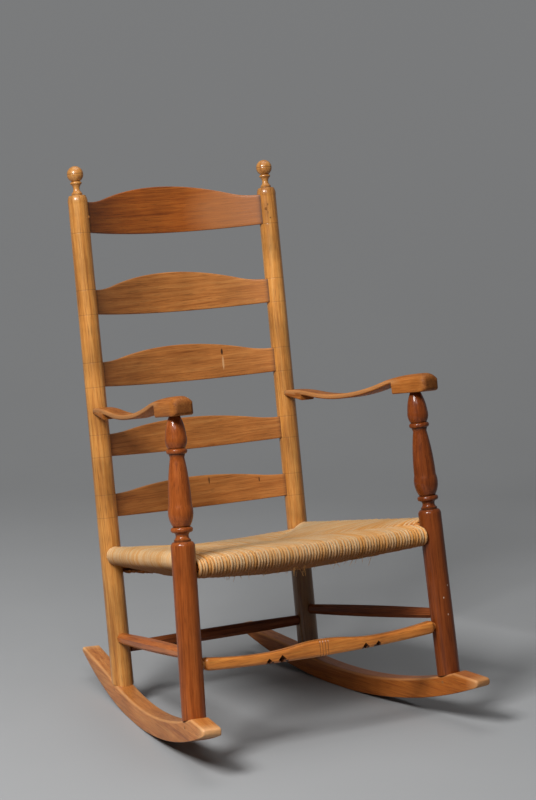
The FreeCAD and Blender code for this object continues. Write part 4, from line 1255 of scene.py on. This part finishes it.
@dataclass
class Arms(Assembly):
    """The two arms: an S-shaped plank with a heel at the back post and a crowned hand block."""

    stance: Stance
    seat: float = 0.549
    start: float = 0.0205
    heel_start: float = 0.0227
    end_height: float = 0.028
    dip_start: float = 0.110
    dip: float = 0.210
    dip_height: float = 0.010
    dip_finish: float = 0.3619
    block_start: float = 0.3919
    block: float = 0.4549
    block_height: float = 0.0385
    nose: float = 0.4919
    nose_round: float = 0.022
    nose_drop: float = 0.017
    nose_lift: float = 0.007
    thickness: float = 0.0105
    heel: float = 0.078
    heel_low: float = 0.003
    heel_rise: float = 0.016
    back_half: float = 0.017
    front_half: float = 0.023
    crown_drop: float = 0.013
    nose_tuck: float = 0.011
    low_round: float = 0.003

    def top(self, along: float) -> float:
        """Gives the height of the top's middle line.

        Args:
            along: the length along the arm.

        Returns:
            The height.
        """
        if along < self.dip:
            first, turn, last = self.heel_start, self.dip_start, self.dip
            return self.ogee(along, first, self.end_height, turn, last, self.dip_height)
        if along < self.block:
            first, turn, last = -self.block, -self.dip_finish, -self.dip
            return self.ogee(-along, first, self.block_height, turn, last, self.dip_height)
        return self.block_height - self.nose_drop * self.pinch(along)

    @staticmethod
    def ogee(at: float, first: float, high: float, turn: float, last: float, low: float) -> float:
        """Gives the height at a place on an ogee that falls from one level to another.

        Args:
            at: the place.
            first: where it leaves the high level.
            high: the high level.
            turn: where its bend turns over.
            last: where it meets the low level.
            low: the low level.

        Returns:
            The height.
        """
        run, rise = last - first, high - low
        spread = arc_radius(run, rise) / run
        if at < first:
            return high
        if at < turn:
            radius = (turn - first) * spread
            return high - radius + math.sqrt(radius**2 - (at - first) ** 2)
        radius = (last - turn) * spread
        return low + radius - math.sqrt(radius**2 - (last - at) ** 2)

    def under(self, along: float) -> float:
        """Gives the height of the underside."""
        if along <= self.heel:
            share = (along - self.heel_start) / (self.heel - self.heel_start)
            return self.heel_rise + (self.heel_low - self.heel_rise) * max(share, 0.0)
        if along < self.block_start:
            return self.top(along) - self.thickness
        return self.nose_lift * self.pinch(along)

    def pinch(self, along: float) -> float:
        """Gives how far the nose has closed in, from 0 to 1."""
        past = clamp((along - (self.nose - self.nose_round)) / self.nose_round)
        return 1.0 - math.sqrt(1.0 - past**2.3)

    def half(self, along: float) -> float:
        """Gives half the width."""
        share = min(along / self.block_start, 1.0)
        wide = self.back_half + (self.front_half - self.back_half) * share
        return wide - self.nose_tuck * self.pinch(along)

    def surface(self, along: float, aside: float) -> float:
        """Gives the height of the upper side, under the crown and with its edges eased.

        Args:
            along: the length along the arm.
            aside: the distance from its middle line.

        Returns:
            The height.
        """
        bend = arc_radius(self.front_half, self.crown_drop)
        crown = self.block_height - bend + math.sqrt(bend**2 - aside**2) - self.nose_drop * self.pinch(along)
        ease = 0.0040
        past = max(abs(aside) - self.half(along) + ease, 0.0) / ease
        level = self.top(along) - ease * round_off(past)
        soft = 0.0011
        return -soft * math.log(math.exp(-level / soft) + math.exp(-crown / soft))

    def section(self, along: float) -> Section:
        """Gives the arm's section at a length along it, over the top from its right and back below.

        Args:
            along: the length along the arm.

        Returns:
            Pairs of sideways distance and height.
        """
        half, low, foot = self.half(along), self.under(along), self.low_round
        spread = [half * math.cos(math.pi * step / 20) for step in range(21)]
        over = [(aside, self.surface(along, aside)) for aside in spread]
        edge = over[0][1]
        flank = [(half, low + foot + (edge - low - foot) * share) for share in (0.0, 0.33, 0.66)]
        turn = [math.radians(angle) for angle in (30, 60, 90)]
        heel = [(half - foot + foot * math.cos(angle), low + foot - foot * math.sin(angle)) for angle in turn]
        right = heel[::-1] + flank
        left = [(-aside, height) for aside, height in right[::-1]]
        return over + left + [(0.0, low)] + right

    def stations(self) -> list[float]:
        """Gives the lengths along an arm at which its section is set."""
        bend = self.nose - self.nose_round
        inner = [self.start + (bend - self.start) * step / 64 for step in range(65)]
        steps = [self.heel, self.heel + 0.0012, self.block_start - 0.0012, self.block_start]
        tip = [bend + self.nose_round * math.sin(math.radians(angle)) for angle in range(6, 91, 6)]
        return sorted(inner + steps + tip)

    def place(self, side: Side) -> Matrix:
        """Gives the place of an arm, whose X axis runs forward along it."""
        begin = self.stance.back_axis(side, self.seat)
        forward = (self.stance.front_axis(side, self.seat) - begin).normalized()
        return self.stance.matrix() @ Matrix.Translation(begin) @ facing(forward)

    def build(self) -> None:
        """Shapes, wears and dresses both arms."""
        for side in Side:
            piece = sleeve(f"{side.word}_arm_board", self.stations(), self.section)
            paint(piece, Paint.WEAR, self.wear)
            paint(piece, Paint.SOIL, self.soil)
            place = self.place(side)
            set_in_place(piece, place)
            soften(piece)
            grain = place.to_3x3() @ Vector((1.0, 0.02, 0.01))
            heart = place @ Vector((0.2, 0.01 * side.value, -0.06))
            material = ARM.material(f"{side.word}_arm_wood", grain, heart)
            self.hand_in(piece, material, "arm_wood", f"{side.word}_arm")

    def wear(self, point: Vector) -> float:
        """Gives the wear on the plank's upper edges, which fades out on the hand block.

        Args:
            point: a point of the arm, before it is set in place.

        Returns:
            The wear, from 0 up.
        """
        edge = max(abs(point.y) - self.half(point.x) + 0.005, 0.0) / 0.005
        plank = max(1.0 - max(point.x - self.block_start, 0.0) / 0.03, 0.0)
        return 0.35 * edge * plank * (1.0 if point.z > self.surface(point.x, point.y) - 0.004 else 0.0)

    def soil(self, point: Vector) -> float:
        """Gives the soil: the nose's end grain and the join at the back post."""
        nose = self.pinch(point.x) ** 0.7
        join = max(0.027 - point.x, 0.0) / 0.006
        return 0.75 * nose + 0.7 * join


@dataclass
class FrontStretcher(Assembly):
    """The front stretcher: a carved yoke with two scoops, chip-cut notches and lines across its middle."""

    stance: Stance
    height: float = 0.071
    half_deep: float = 0.012
    end_gap: float = 0.004
    end_rise: float = 0.013
    scoop_rise: float = 0.002
    scoop_half: float = 0.128
    middle_rise: float = 0.011
    belly: float = 0.009
    cut_deep: float = 0.0007
    end_round: float = 0.009
    end_tuck: float = 0.006
    top_round: float = 0.0075
    low_round: float = 0.0065
    tenon_radius: float = 0.0075
    tenon_tip: float = 0.0070
    notches: tuple[tuple[float, float], ...] = (
        (-0.127, 0.0085), (-0.097, 0.0110), (0.097, 0.0090), (0.127, 0.0085),
    )
    cuts: tuple[float, ...] = (-0.0095, -0.0032, 0.0032, 0.0095)

    def end(self) -> float:
        """Gives where the yoke's body ends beside the leg."""
        return self.stance.front_axis(Side.RIGHT, self.height).x - LEG_RADIUS - self.end_gap

    def top(self, x: float) -> float:
        """Gives the height of the upper edge.

        Args:
            x: the place across the chair.

        Returns:
            The height above the stretcher's middle.
        """
        reach = abs(x)
        if reach > self.scoop_half:
            run, rise = self.end() - self.scoop_half, self.end_rise - self.scoop_rise
            radius = arc_radius(run, rise)
            return self.scoop_rise + radius - math.sqrt(radius**2 - (reach - self.scoop_half) ** 2)
        rise = self.middle_rise - self.scoop_rise
        radius = arc_radius(self.scoop_half, rise) / 2
        if reach > self.scoop_half / 2:
            return self.scoop_rise + radius - math.sqrt(radius**2 - (self.scoop_half - reach) ** 2)
        return self.middle_rise - radius + math.sqrt(radius**2 - reach**2)

    def under(self, x: float) -> float:
        """Gives the height of the bellied lower edge."""
        end = self.end()
        radius = arc_radius(end, self.belly)
        return -self.end_rise - self.belly + radius - math.sqrt(radius**2 - x**2)

    def stations(self) -> list[float]:
        """Gives the places across the chair at which the section is set."""
        end = self.end()
        even = [-end + 2 * end * step / 96 for step in range(97)]
        fine = [cut + shift for cut in self.cuts for shift in (-0.0011, 0.0, 0.0011)]
        tips = [sign * (end - inset) for sign in (-1, 1) for inset in (0.0004, 0.0015, 0.0035, 0.006)]
        kept = [x for x in even if all(abs(x - cut) > 0.0018 for cut in self.cuts)]
        return sorted(kept + fine + tips)

    def section(self, x: float) -> Section:
        """Gives the section, shrunk a little in a cut line and rounded off at the ends.

        Args:
            x: the place across the chair.

        Returns:
            Pairs of distance to the rear and height.
        """
        cut = self.cut_deep if any(abs(x - place) < 1e-6 for place in self.cuts) else 0.0
        past = max(abs(x) - self.end() + self.end_round, 0.0) / self.end_round
        cut += self.end_tuck * round_off(past)
        low, high = self.under(x) + cut, self.top(x) - cut
        return rounded_section(self.half_deep - cut, low, high, self.top_round, self.low_round)

    def build(self) -> None:
        """Carves and dresses the stretcher with its round tenons."""
        piece = sleeve("front_stretcher_yoke", self.stations(), self.section)
        for x, reach in self.notches:
            self.chip(piece, x, reach)
        inside = [face.index for face in piece.data.polygons if self.in_notch(face.center)]
        paint(piece, Paint.SOIL, self.soil)
        place = self.stance.matrix() @ Matrix.Translation((0.0, -self.stance.depth, self.height))
        set_in_place(piece, place)
        soften(piece, 32.0)
        heart = place @ Vector((0.0, 0.06, -0.02))
        material = YOKE.material("front_stretcher_wood", Vector((1.0, 0.02, 0.03)), heart)
        self.hand_in(piece, material, "front_stretcher_wood", "front_stretcher")
        # The faces inside the notches get painted shade.
        piece.data.materials.append(NOTCH.material("front_stretcher_notch", Vector((0.0, 1.0, 0.2)), heart))
        for index in inside:
            piece.data.polygons[index].material_index = 1
        self.tenons(place, material)

    def chip(self, piece: bpy.types.Object, x: float, reach: float) -> None:
        """Cuts a three-cornered chip out of the lower front edge.

        Args:
            piece: the stretcher.
            x: where the chip is.
            reach: how far it spreads.
        """
        deselect()
        depth = 1.5 * reach
        bpy.ops.mesh.primitive_cone_add(vertices=4, radius1=reach, radius2=0.0003, depth=depth)
        cutter = bpy.context.object
        middle = Vector((x, -self.half_deep - 0.003 + depth / 2, self.under(x) + 0.55 * reach))
        cutter.data.transform(Matrix.Translation(middle) @ Matrix.Rotation(math.radians(-90), 4, "X"))
        apply_modifier(piece, "BOOLEAN", object=cutter, operation="DIFFERENCE", solver="EXACT")
        bpy.data.objects.remove(cutter)

    def in_notch(self, point: Vector) -> bool:
        """Tells whether a point is inside one of the notches, off the stretcher's own surface.

        Args:
            point: a point of the stretcher, before it is set in place.

        Returns:
            Whether it is in a notch.
        """
        for x, reach in self.notches:
            near = abs(point.x - x) < reach and point.y < 0.005 and point.z < self.under(x) + 1.6 * reach
            buried = abs(point.y) < self.half_deep - 0.0004 and point.z > self.under(point.x) + 0.0004
            ring = self.section(point.x)
            edge = min(math.hypot(point.y - t, point.z - h) for t, h in ring)
            if near and buried and edge > 0.0009:
                return True
        return False

    def soil(self, point: Vector) -> float:
        """Gives the soil in the cut lines."""
        return 1.0 if any(abs(point.x - cut) < 0.0002 for cut in self.cuts) else 0.0

    def tenons(self, place: Matrix, material: bpy.types.Material) -> None:
        """Turns the round tenon that shows in the gap beside each leg.

        Args:
            place: the stretcher's place.
            material: the stretcher's finish.
        """
        for side in Side:
            inner, outer = self.end() - 0.006, self.end() + self.end_gap + 0.003
            turning = Turning().line(self.tenon_tip, inner).line(self.tenon_radius, inner + 0.004)
            turning.line(self.tenon_radius, outer - 0.001, 0.5).line(self.tenon_tip, outer, 0.5)
            peg = turning.build(f"{side.word}_yoke_tenon", sides=24)
            set_in_place(peg, place @ Matrix.Rotation(math.radians(90.0 * side.value), 4, "Y"))
            soften(peg)
            self.hand_in(peg, material, "front_stretcher_wood")


@dataclass
class Sticks(Assembly):
    """The shaved stretchers, the seat rails and the pegs, whose solids stay as they are."""

    stance: Stance
    nodes: dict[str, bpy.types.Object]

    def dress(self) -> None:
        """Gives each solid its own grain."""
        across = Vector((1.0, 0.015, 0.02))
        # These get the darker copy as painted shade.
        for label in ("back_stretcher", "front_seat_rail", "back_seat_rail"):
            self.finish(label, DUSK, across)
        for side in Side:
            run = self.stance.front_axis(side, 0.2) - self.stance.back_axis(side, 0.2)
            # The right-hand sticks get the darker copy as painted shade.
            wood = DUSK if side is Side.RIGHT else SHAVED
            for label in ("stretcher", "seat_rail"):
                self.finish(f"{side.word}_{label}", wood, self.stance.matrix().to_3x3() @ run.normalized())
        for label in ("slat_pegs", "rail_pegs", "arm_pegs", "rocker_pegs"):
            self.finish(label, PEG, Vector((0.1, 1.0, 0.1)))

    def finish(self, label: str, wood: WoodFinish, grain: Vector) -> None:
        """Assigns a wood to one solid.

        Args:
            label: the CAD node.
            wood: its finish.
            grain: the direction of its grain.
        """
        low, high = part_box(label)
        heart = (low + high) / 2 + Vector((0.02, 0.03, 0.045))
        node = self.nodes[label]
        node.data.materials.clear()
        node.data.materials.append(wood.material(f"{label}_wood", grain, heart))
        LOG.info("%s keeps its solid", label)


@dataclass
class RushSeat(Assembly):
    """The rush seat: four panels of twisted cords that wrap the rails and meet along mitred seams."""

    stance: Stance
    roll: float = 0.01575
    cord: float = 0.0033
    sag: float = 0.004
    crown: float = 0.005
    crown_run: float = 0.12
    seam_tip: float = 0.006
    sag_half: float = 0.27
    front_height: float = 0.256
    back_height: float = 0.248
    side_back_height: float = 0.267
    side_front_height: float = 0.273
    middle_back: float = 0.212
    middle_half: float = 0.041
    front_seam: float = 0.279
    back_seam: float = 0.273
    middle_top: float = 0.2670
    middle_low: float = 0.2153
    front_count: int = 78
    back_count: int = 62
    side_count: int = 60
    strand_stray: float = 0.0005
    point_stray: float = 0.0003
    core_inset: float = 0.012
    core_edge: float = 0.004
    core_side_back: float = 0.266
    core_side_front: float = 0.272
    core_middle: float = 0.243
    core_thickness: float = 0.020
    loose_count: int = 46
    loose_girth: float = 0.0006
    seed: int = 41

    def seam_run(self, across: float, corner: float, depth: float) -> float:
        """Gives how far in a seam lies from a rail, at a distance across from the middle."""
        reach = max(abs(across) - self.middle_half, 0.0)
        return depth * (1.0 - reach / (corner - self.middle_half))

    def across_panel(self, front: bool) -> list[list[Vector]]:
        """Gives the strands of the front or the back panel, which run from front to back.

        Args:
            front: whether it is the front panel.

        Returns:
            The middle line of each strand.
        """
        corner = self.stance.front_half if front else self.stance.back_half
        rail_y = -self.stance.depth if front else 0.0
        height = self.front_height if front else self.back_height
        depth = self.stance.depth - self.middle_back if front else self.middle_back
        inward = 1.0 if front else -1.0
        count = self.front_count if front else self.back_count
        half = corner - (LEG_RADIUS if front else POST_RADIUS) - self.cord
        lines = []
        for index in range(count):
            x = -half + 2 * half * index / (count - 1)
            run = self.seam_run(x, corner, depth)
            near = run / depth
            seam = (self.front_seam if front else self.back_seam) * (1.0 - near) + self.middle_top * near
            sag = self.sag * max(1.0 - (x / self.sag_half) ** 2, 0.0) if front else 0.0
            lines.append(self.strand(
                lambda u, z, x=x: Vector((x, rail_y + inward * u, z)), run, height, seam, near, sag
            ))
        return lines

    def side_panel(self, side: Side) -> list[list[Vector]]:
        """Gives the strands of a side panel, which run across the chair.

        Args:
            side: which panel.

        Returns:
            The middle line of each strand.
        """
        lines = []
        first, last = POST_RADIUS + self.cord, self.stance.depth - LEG_RADIUS - self.cord
        for index in range(self.side_count):
            back = first + (last - first) * index / (self.side_count - 1)
            share = back / self.stance.depth
            rail_x = self.stance.back_half + (self.stance.front_half - self.stance.back_half) * share
            height = self.side_back_height + (self.side_front_height - self.side_back_height) * share
            if back < self.middle_back:
                corner, near, rim = self.stance.back_half, back / self.middle_back, self.back_seam
            else:
                near = (self.stance.depth - back) / (self.stance.depth - self.middle_back)
                corner, rim = self.stance.front_half, self.front_seam
            seam_x = corner + (self.middle_half - corner) * near
            seam = rim + (self.middle_top - rim) * near
            sign = side.value
            lines.append(self.strand(
                lambda u, z, x=rail_x, y=back: Vector((sign * (x - u), -y, z)),
                max(rail_x - seam_x, self.seam_tip), height, seam, near, 0.4 * self.sag * near,
            ))
        return lines

    def strand(
        self,
        spot: Callable[[float, float], Vector],
        run: float,
        height: float,
        seam: float,
        near: float,
        sag: float,
    ) -> list[Vector]:
        """Gives one strand's middle line: along the top, round the rail and back below.

        Args:
            spot: turns a distance in from the rail and a height into a point.
            run: how far in the seam is.
            height: the rail's height.
            seam: the height at which the strand goes down into the seam.
            near: how near the strand is to the seat's middle, from 0 to 1.
            sag: how far the strand hangs below the rail's roll.

        Returns:
            The points of the line.
        """
        roll_top, roll_low = height + self.roll, height - self.roll
        seam_low = roll_low + (self.middle_low - roll_low) * near
        crown = self.crown * min(run / self.crown_run, 1.0)
        tip = min(self.seam_tip, run * 0.3)
        flat = [(run + 0.0015, seam - 0.012), (run - 0.0005, seam - 0.005), (run - tip * 0.5, seam - 0.0008)]
        for share in (0.74, 0.5, 0.25):
            rise = roll_top + (seam - roll_top) * share
            flat.append((run * share, rise + crown * 4 * share * (1 - share) * 0.8))
        for turn in (90, 125, 155, 185, 215, 245, 270):
            angle = math.radians(turn)
            drop = sag * max(math.sin(angle) * -1.0, 0.0)
            flat.append((self.roll * math.cos(angle), height + self.roll * math.sin(angle) - drop))
        for share, fall in ((0.22, 0.55), (0.5, 0.88), (1.0, 1.0)):
            flat.append((run * share, roll_low - sag * (1.0 - share) + (seam_low - roll_low) * fall))
        return [spot(u, z) for u, z in flat]

    def build(self) -> None:
        """Weaves the four panels, stuffs them and leaves some loose fibres below."""
        chance = random.Random(self.seed)
        material = RUSH.material("rush_cord")
        panels = {
            "front": (self.across_panel(True), self.front_height),
            "back": (self.across_panel(False), self.back_height),
        }
        level = (self.side_back_height + self.side_front_height) / 2
        panels.update({side.word: (self.side_panel(side), level) for side in Side})
        for word, (lines, height) in panels.items():
            piece = self.weave(f"rush_{word}_panel", lines, height, chance)
            self.hand_in(piece, material, "rush", "rush_seat")
        core = self.stuff()
        self.hand_in(core, STUFFING.material("rush_stuffing"), "rush")
        fibres = self.fray(chance)
        self.hand_in(fibres, material, "rush")

    @staticmethod
    def stray(chance: random.Random) -> Vector:
        """Gives a random step in every direction."""
        return Vector((chance.uniform(-1, 1), chance.uniform(-1, 1), chance.uniform(-1, 1)))

    def weave(
        self, name: str, lines: list[list[Vector]], height: float, chance: random.Random
    ) -> bpy.types.Object:
        """Makes a panel's cords, each a little uneven and with its own tone.

        Args:
            name: the panel's name.
            lines: the strands' middle lines in the square frame.
            height: the height of the rail that they wrap.
            chance: the source of the unevenness.

        Returns:
            The panel as a mesh in its place.
        """
        place = self.stance.matrix()
        shape = new_tubes(name, self.cord, 2)
        across = 0 if lines[0][0].x == lines[0][-1].x else 1
        strands = []
        for line in lines:
            spline = shape.splines.new("POLY")
            spline.points.add(len(line) - 1)
            shift = self.stray(chance) * self.strand_stray
            girth = chance.uniform(0.93, 1.10)
            for point, spot in zip(spline.points, line):
                jitter = self.stray(chance) * self.point_stray
                point.co = (*(place @ (spot + shift + jitter)), 1.0)
                point.radius = girth * chance.uniform(0.95, 1.05)
            length = sum((after - before).length for before, after in pairwise(line))
            strands.append((line[0][across] + shift[across], length, chance.betavariate(2.2, 2.0)))
        piece = tubes_to_mesh(shape)
        self.tone_strands(piece, height, across, strands)
        soften(piece, 70.0)
        return piece

    def tone_strands(
        self,
        piece: bpy.types.Object,
        height: float,
        across: int,
        strands: list[tuple[float, float, float]],
    ) -> None:
        """Gives each strand its tone, painted shade on its flanks, soil and painted shade below, and a UV map
        in metres along it.

        Args:
            piece: the panel's mesh.
            height: the height of the rail, below which the soil grows.
            across: the axis of the square frame along which the strands lie side by side.
            strands: each strand's middle on that axis, its length and its tone.
        """
        mesh = piece.data
        tones = mesh.attributes.new(Paint.TONE.value, "FLOAT", "POINT")
        gaps = mesh.attributes.new(Paint.GAP.value, "FLOAT", "POINT")
        soils = mesh.attributes.new(Paint.SOIL.value, "FLOAT", "POINT")
        upright = self.stance.matrix().inverted()
        spans = []
        for vertex in mesh.vertices:
            spot = upright @ vertex.co
            middle, length, tone = min(strands, key=lambda strand: abs(strand[0] - spot[across]))
            spans.append(length)
            below = height + self.roll - spot.z
            tones.data[vertex.index].value = tone
            # Painted shade grows from a cord's middle to its flanks.
            gaps.data[vertex.index].value = min(abs(spot[across] - middle) / self.cord, 1.0)
            # Below the roll: soil and painted shade together.
            soils.data[vertex.index].value = clamp((below - 0.013) / (1.3 * self.roll))
        layer = mesh.uv_layers[0].data
        for loop in mesh.loops:
            layer[loop.index].uv.y *= spans[loop.vertex_index]

    def stuff(self) -> bpy.types.Object:
        """Makes the stuffing between the upper and lower runs, which keeps light from passing through.

        Returns:
            The stuffing as one mesh in its place.
        """
        front, back = self.stance.front_half - self.core_inset, self.stance.back_half - self.core_inset
        near, far = -self.stance.depth + self.core_edge, -self.core_edge
        left = (-self.middle_half, -self.middle_back, self.core_middle)
        right = (self.middle_half, -self.middle_back, self.core_middle)
        corners = {
            "front": [(-front, near, self.front_height), (front, near, self.front_height), right, left],
            "back": [(back, far, self.back_height), (-back, far, self.back_height), left, right],
            "left": [(-back, far, self.core_side_back), (-front, near, self.core_side_front), left],
            "right": [(front, near, self.core_side_front), (back, far, self.core_side_back), right],
        }
        parts = []
        for word, spots in corners.items():
            mesh = bpy.data.meshes.new(f"stuffing_{word}")
            mesh.from_pydata([Vector(spot) for spot in spots], [], [tuple(range(len(spots)))])
            part = bpy.data.objects.new(f"stuffing_{word}", mesh)
            bpy.context.scene.collection.objects.link(part)
            apply_modifier(part, "SOLIDIFY", thickness=self.core_thickness, offset=0.0)
            parts.append(part)
        deselect()
        for part in parts:
            part.select_set(True)
        bpy.context.view_layer.objects.active = parts[0]
        bpy.ops.object.join()
        core = bpy.context.object
        core.name = "rush_stuffing"
        face_outwards(core)
        set_in_place(core, self.stance.matrix())
        return core

    def fray(self, chance: random.Random) -> bpy.types.Object:
        """Makes the loose fibres that hang below the front edge.

        Args:
            chance: the source of their places.

        Returns:
            The fibres as one mesh.
        """
        shape = new_tubes("rush_loose_fibres", self.loose_girth, 0)
        place = self.stance.matrix()
        for _ in range(self.loose_count):
            x = chance.uniform(-0.20, 0.20)
            low = self.front_height - self.roll - 0.010 * (1.0 - (x / self.sag_half) ** 2)
            start = Vector((x, -self.stance.depth + chance.uniform(-0.004, 0.040), low))
            way = Vector((chance.uniform(-1, 1), chance.uniform(-0.6, 0.8), chance.uniform(-0.9, -0.2)))
            way.normalize()
            length = chance.uniform(0.006, 0.020)
            spline = shape.splines.new("POLY")
            spline.points.add(3)
            for step, point in enumerate(spline.points):
                share = step / 3
                droop = Vector((0.0, 0.0, -0.35 * length * share**2))
                point.co = (*(place @ (start + way * length * share + droop)), 1.0)
                point.radius = 1.0 - 0.6 * share
        return tubes_to_mesh(shape)


@dataclass
class Studio:
    """The grey sweep that the chair stands on, the soft lamps and the camera."""

    eye: tuple[float, float, float] = (-2.2355, -3.8250, 1.3850)
    aim: tuple[float, float, float] = (0.0255, -0.0220, 0.6486)
    lens: float = 98.7
    grey: Colour = (0.345, 0.350, 0.355)
    haze: float = 0.57
    fade: tuple[float, float] = (1.9, 5.2)
    floor: tuple[float, float] = (16.0, 11.0)
    wall: float = 7.0
    bend: float = 2.4
    skylight: float = 0.045
    lamp_aim: tuple[float, float, float] = (0.0, 0.0, 0.55)

    def build(self) -> None:
        """Sets up the sweep, the lamps, the world and the camera."""
        self.sweep()
        self.lamp("key_lamp", (-2.9, -1.3, 3.3), 1.3, 195.0)
        self.lamp("front_lamp", (-1.9, -3.0, 3.6), 1.6, 40.0)
        self.lamp("top_lamp", (0.2, 0.3, 3.4), 2.0, 26.0)
        self.sky()
        self.camera()
        bpy.context.scene.view_settings.view_transform = "Standard"

    def sky(self) -> None:
        """Makes a world that lights weakly and is seen, or mirrored, as a plain grey."""
        world = bpy.data.worlds.new("studio")
        bench = NodeBench(world)
        bench.set(Color=(1.0, 1.0, 1.0, 1.0), Strength=self.skylight)
        plain_grey = bench.add("Background", {"Color": (*self.grey, 1.0), "Strength": self.haze})
        shaders = {0: bench.seen(), 1: bench.shader.outputs[0], 2: plain_grey.outputs[0]}
        bench.wire(bench.surface, bench.add("MixShader", shaders).outputs[0])
        bpy.context.scene.world = world

    def sweep(self) -> None:
        """Makes a floor that bends up into a backdrop behind the chair."""
        deselect()
        bpy.ops.mesh.primitive_plane_add(size=1.0)
        floor = bpy.context.object
        floor.name = "studio_sweep"
        bpy.ops.object.mode_set(mode="EDIT")
        bpy.ops.transform.resize(value=(*self.floor, 1.0))
        bpy.ops.mesh.select_all(action="DESELECT")
        bpy.ops.object.mode_set(mode="OBJECT")
        for edge in floor.data.edges:
            edge.select = all(floor.data.vertices[index].co.y > 0 for index in edge.vertices)
        bpy.ops.object.mode_set(mode="EDIT")
        bpy.ops.mesh.select_mode(type="EDGE")
        bpy.ops.mesh.extrude_region_move(TRANSFORM_OT_translate={"value": (0.0, 0.0, self.wall)})
        bpy.ops.object.mode_set(mode="OBJECT")
        for edge in floor.data.edges:
            ends = [floor.data.vertices[index].co for index in edge.vertices]
            edge.select = all(end.y > 1.0 and abs(end.z) < 0.01 for end in ends)
        bpy.ops.object.mode_set(mode="EDIT")
        bpy.ops.mesh.bevel(offset=self.bend, segments=24)
        bpy.ops.object.mode_set(mode="OBJECT")
        toward = Vector(self.aim) - Vector(self.eye)
        angle = math.atan2(toward.y, toward.x) - math.pi / 2
        set_in_place(floor, Matrix.Rotation(angle, 4, "Z") @ Matrix.Translation((0.0, -1.0, -0.0005)))
        soften(floor)
        paper = bpy.data.materials.new("studio_paper")
        bench = NodeBench(paper)
        place = bench.add("TexCoord").outputs["Object"]
        cloud = bench.noise(place, 2.0, 2.0)
        tint = bench.ramp(cloud, ((0.3, tuple(0.97 * part for part in self.grey)), (0.7, self.grey)))
        bench.set(Base_Color=tint, Roughness=0.85, Specular_IOR_Level=0.2)
        away = bench.add("VectorMath", {0: place}, operation="LENGTH").outputs["Value"]
        reach = {"Value": away, "From Min": self.fade[0], "From Max": self.fade[1]}
        fade = bench.add("MapRange", reach, interpolation_type="SMOOTHSTEP").outputs[0]
        glow = bench.add("Emission", {"Color": (*self.grey, 1.0), "Strength": self.haze}).outputs[0]
        far = bench.math("MULTIPLY", fade, bench.seen())
        mixed = bench.add("MixShader", {0: far, 1: bench.shader.outputs[0], 2: glow})
        bench.wire(bench.surface, mixed.outputs[0])
        floor.data.materials.append(paper)

    @staticmethod
    def look(watcher: bpy.types.Object, spot: Sequence[float], aim: Sequence[float]) -> None:
        """Puts a lamp or a camera at a spot in the scene, facing a point.

        Args:
            watcher: the lamp or the camera.
            spot: where it stands.
            aim: the point that it faces.
        """
        watcher.location = spot
        watcher.rotation_euler = (Vector(aim) - Vector(spot)).to_track_quat("-Z", "Y").to_euler()
        bpy.context.scene.collection.objects.link(watcher)

    def lamp(self, name: str, spot: tuple[float, float, float], size: float, power: float) -> None:
        """Adds a square soft lamp that faces the chair.

        Args:
            name: the lamp's name.
            spot: where it hangs.
            size: the length of its sides.
            power: its power in watts.
        """
        light = bpy.data.lights.new(name, "AREA")
        light.size = size
        light.energy = power
        self.look(bpy.data.objects.new(name, light), spot, self.lamp_aim)

    def camera(self) -> None:
        """Adds the camera where the photograph was taken from."""
        lens = bpy.data.cameras.new("photo_camera")
        lens.lens = self.lens
        lens.sensor_width = 36.0
        camera = bpy.data.objects.new("photo_camera", lens)
        self.look(camera, self.eye, self.aim)
        bpy.context.scene.camera = camera


def main() -> None:
    """Loads the solids, builds each sub-assembly over them and sets up the studio."""
    logging.basicConfig(level=logging.INFO, format="%(message)s")
    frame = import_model()
    stance = Stance()
    rockers = Rockers(stance)
    rockers.build()
    BackPosts(stance, rockers).build()
    FrontPosts(stance, rockers).build()
    Slats(stance).build()
    Arms(stance).build()
    FrontStretcher(stance).build()
    Sticks(stance, frame["nodes"]).dress()
    RushSeat(stance).build()
    Studio().build()


if __name__ == "__main__":
    main()
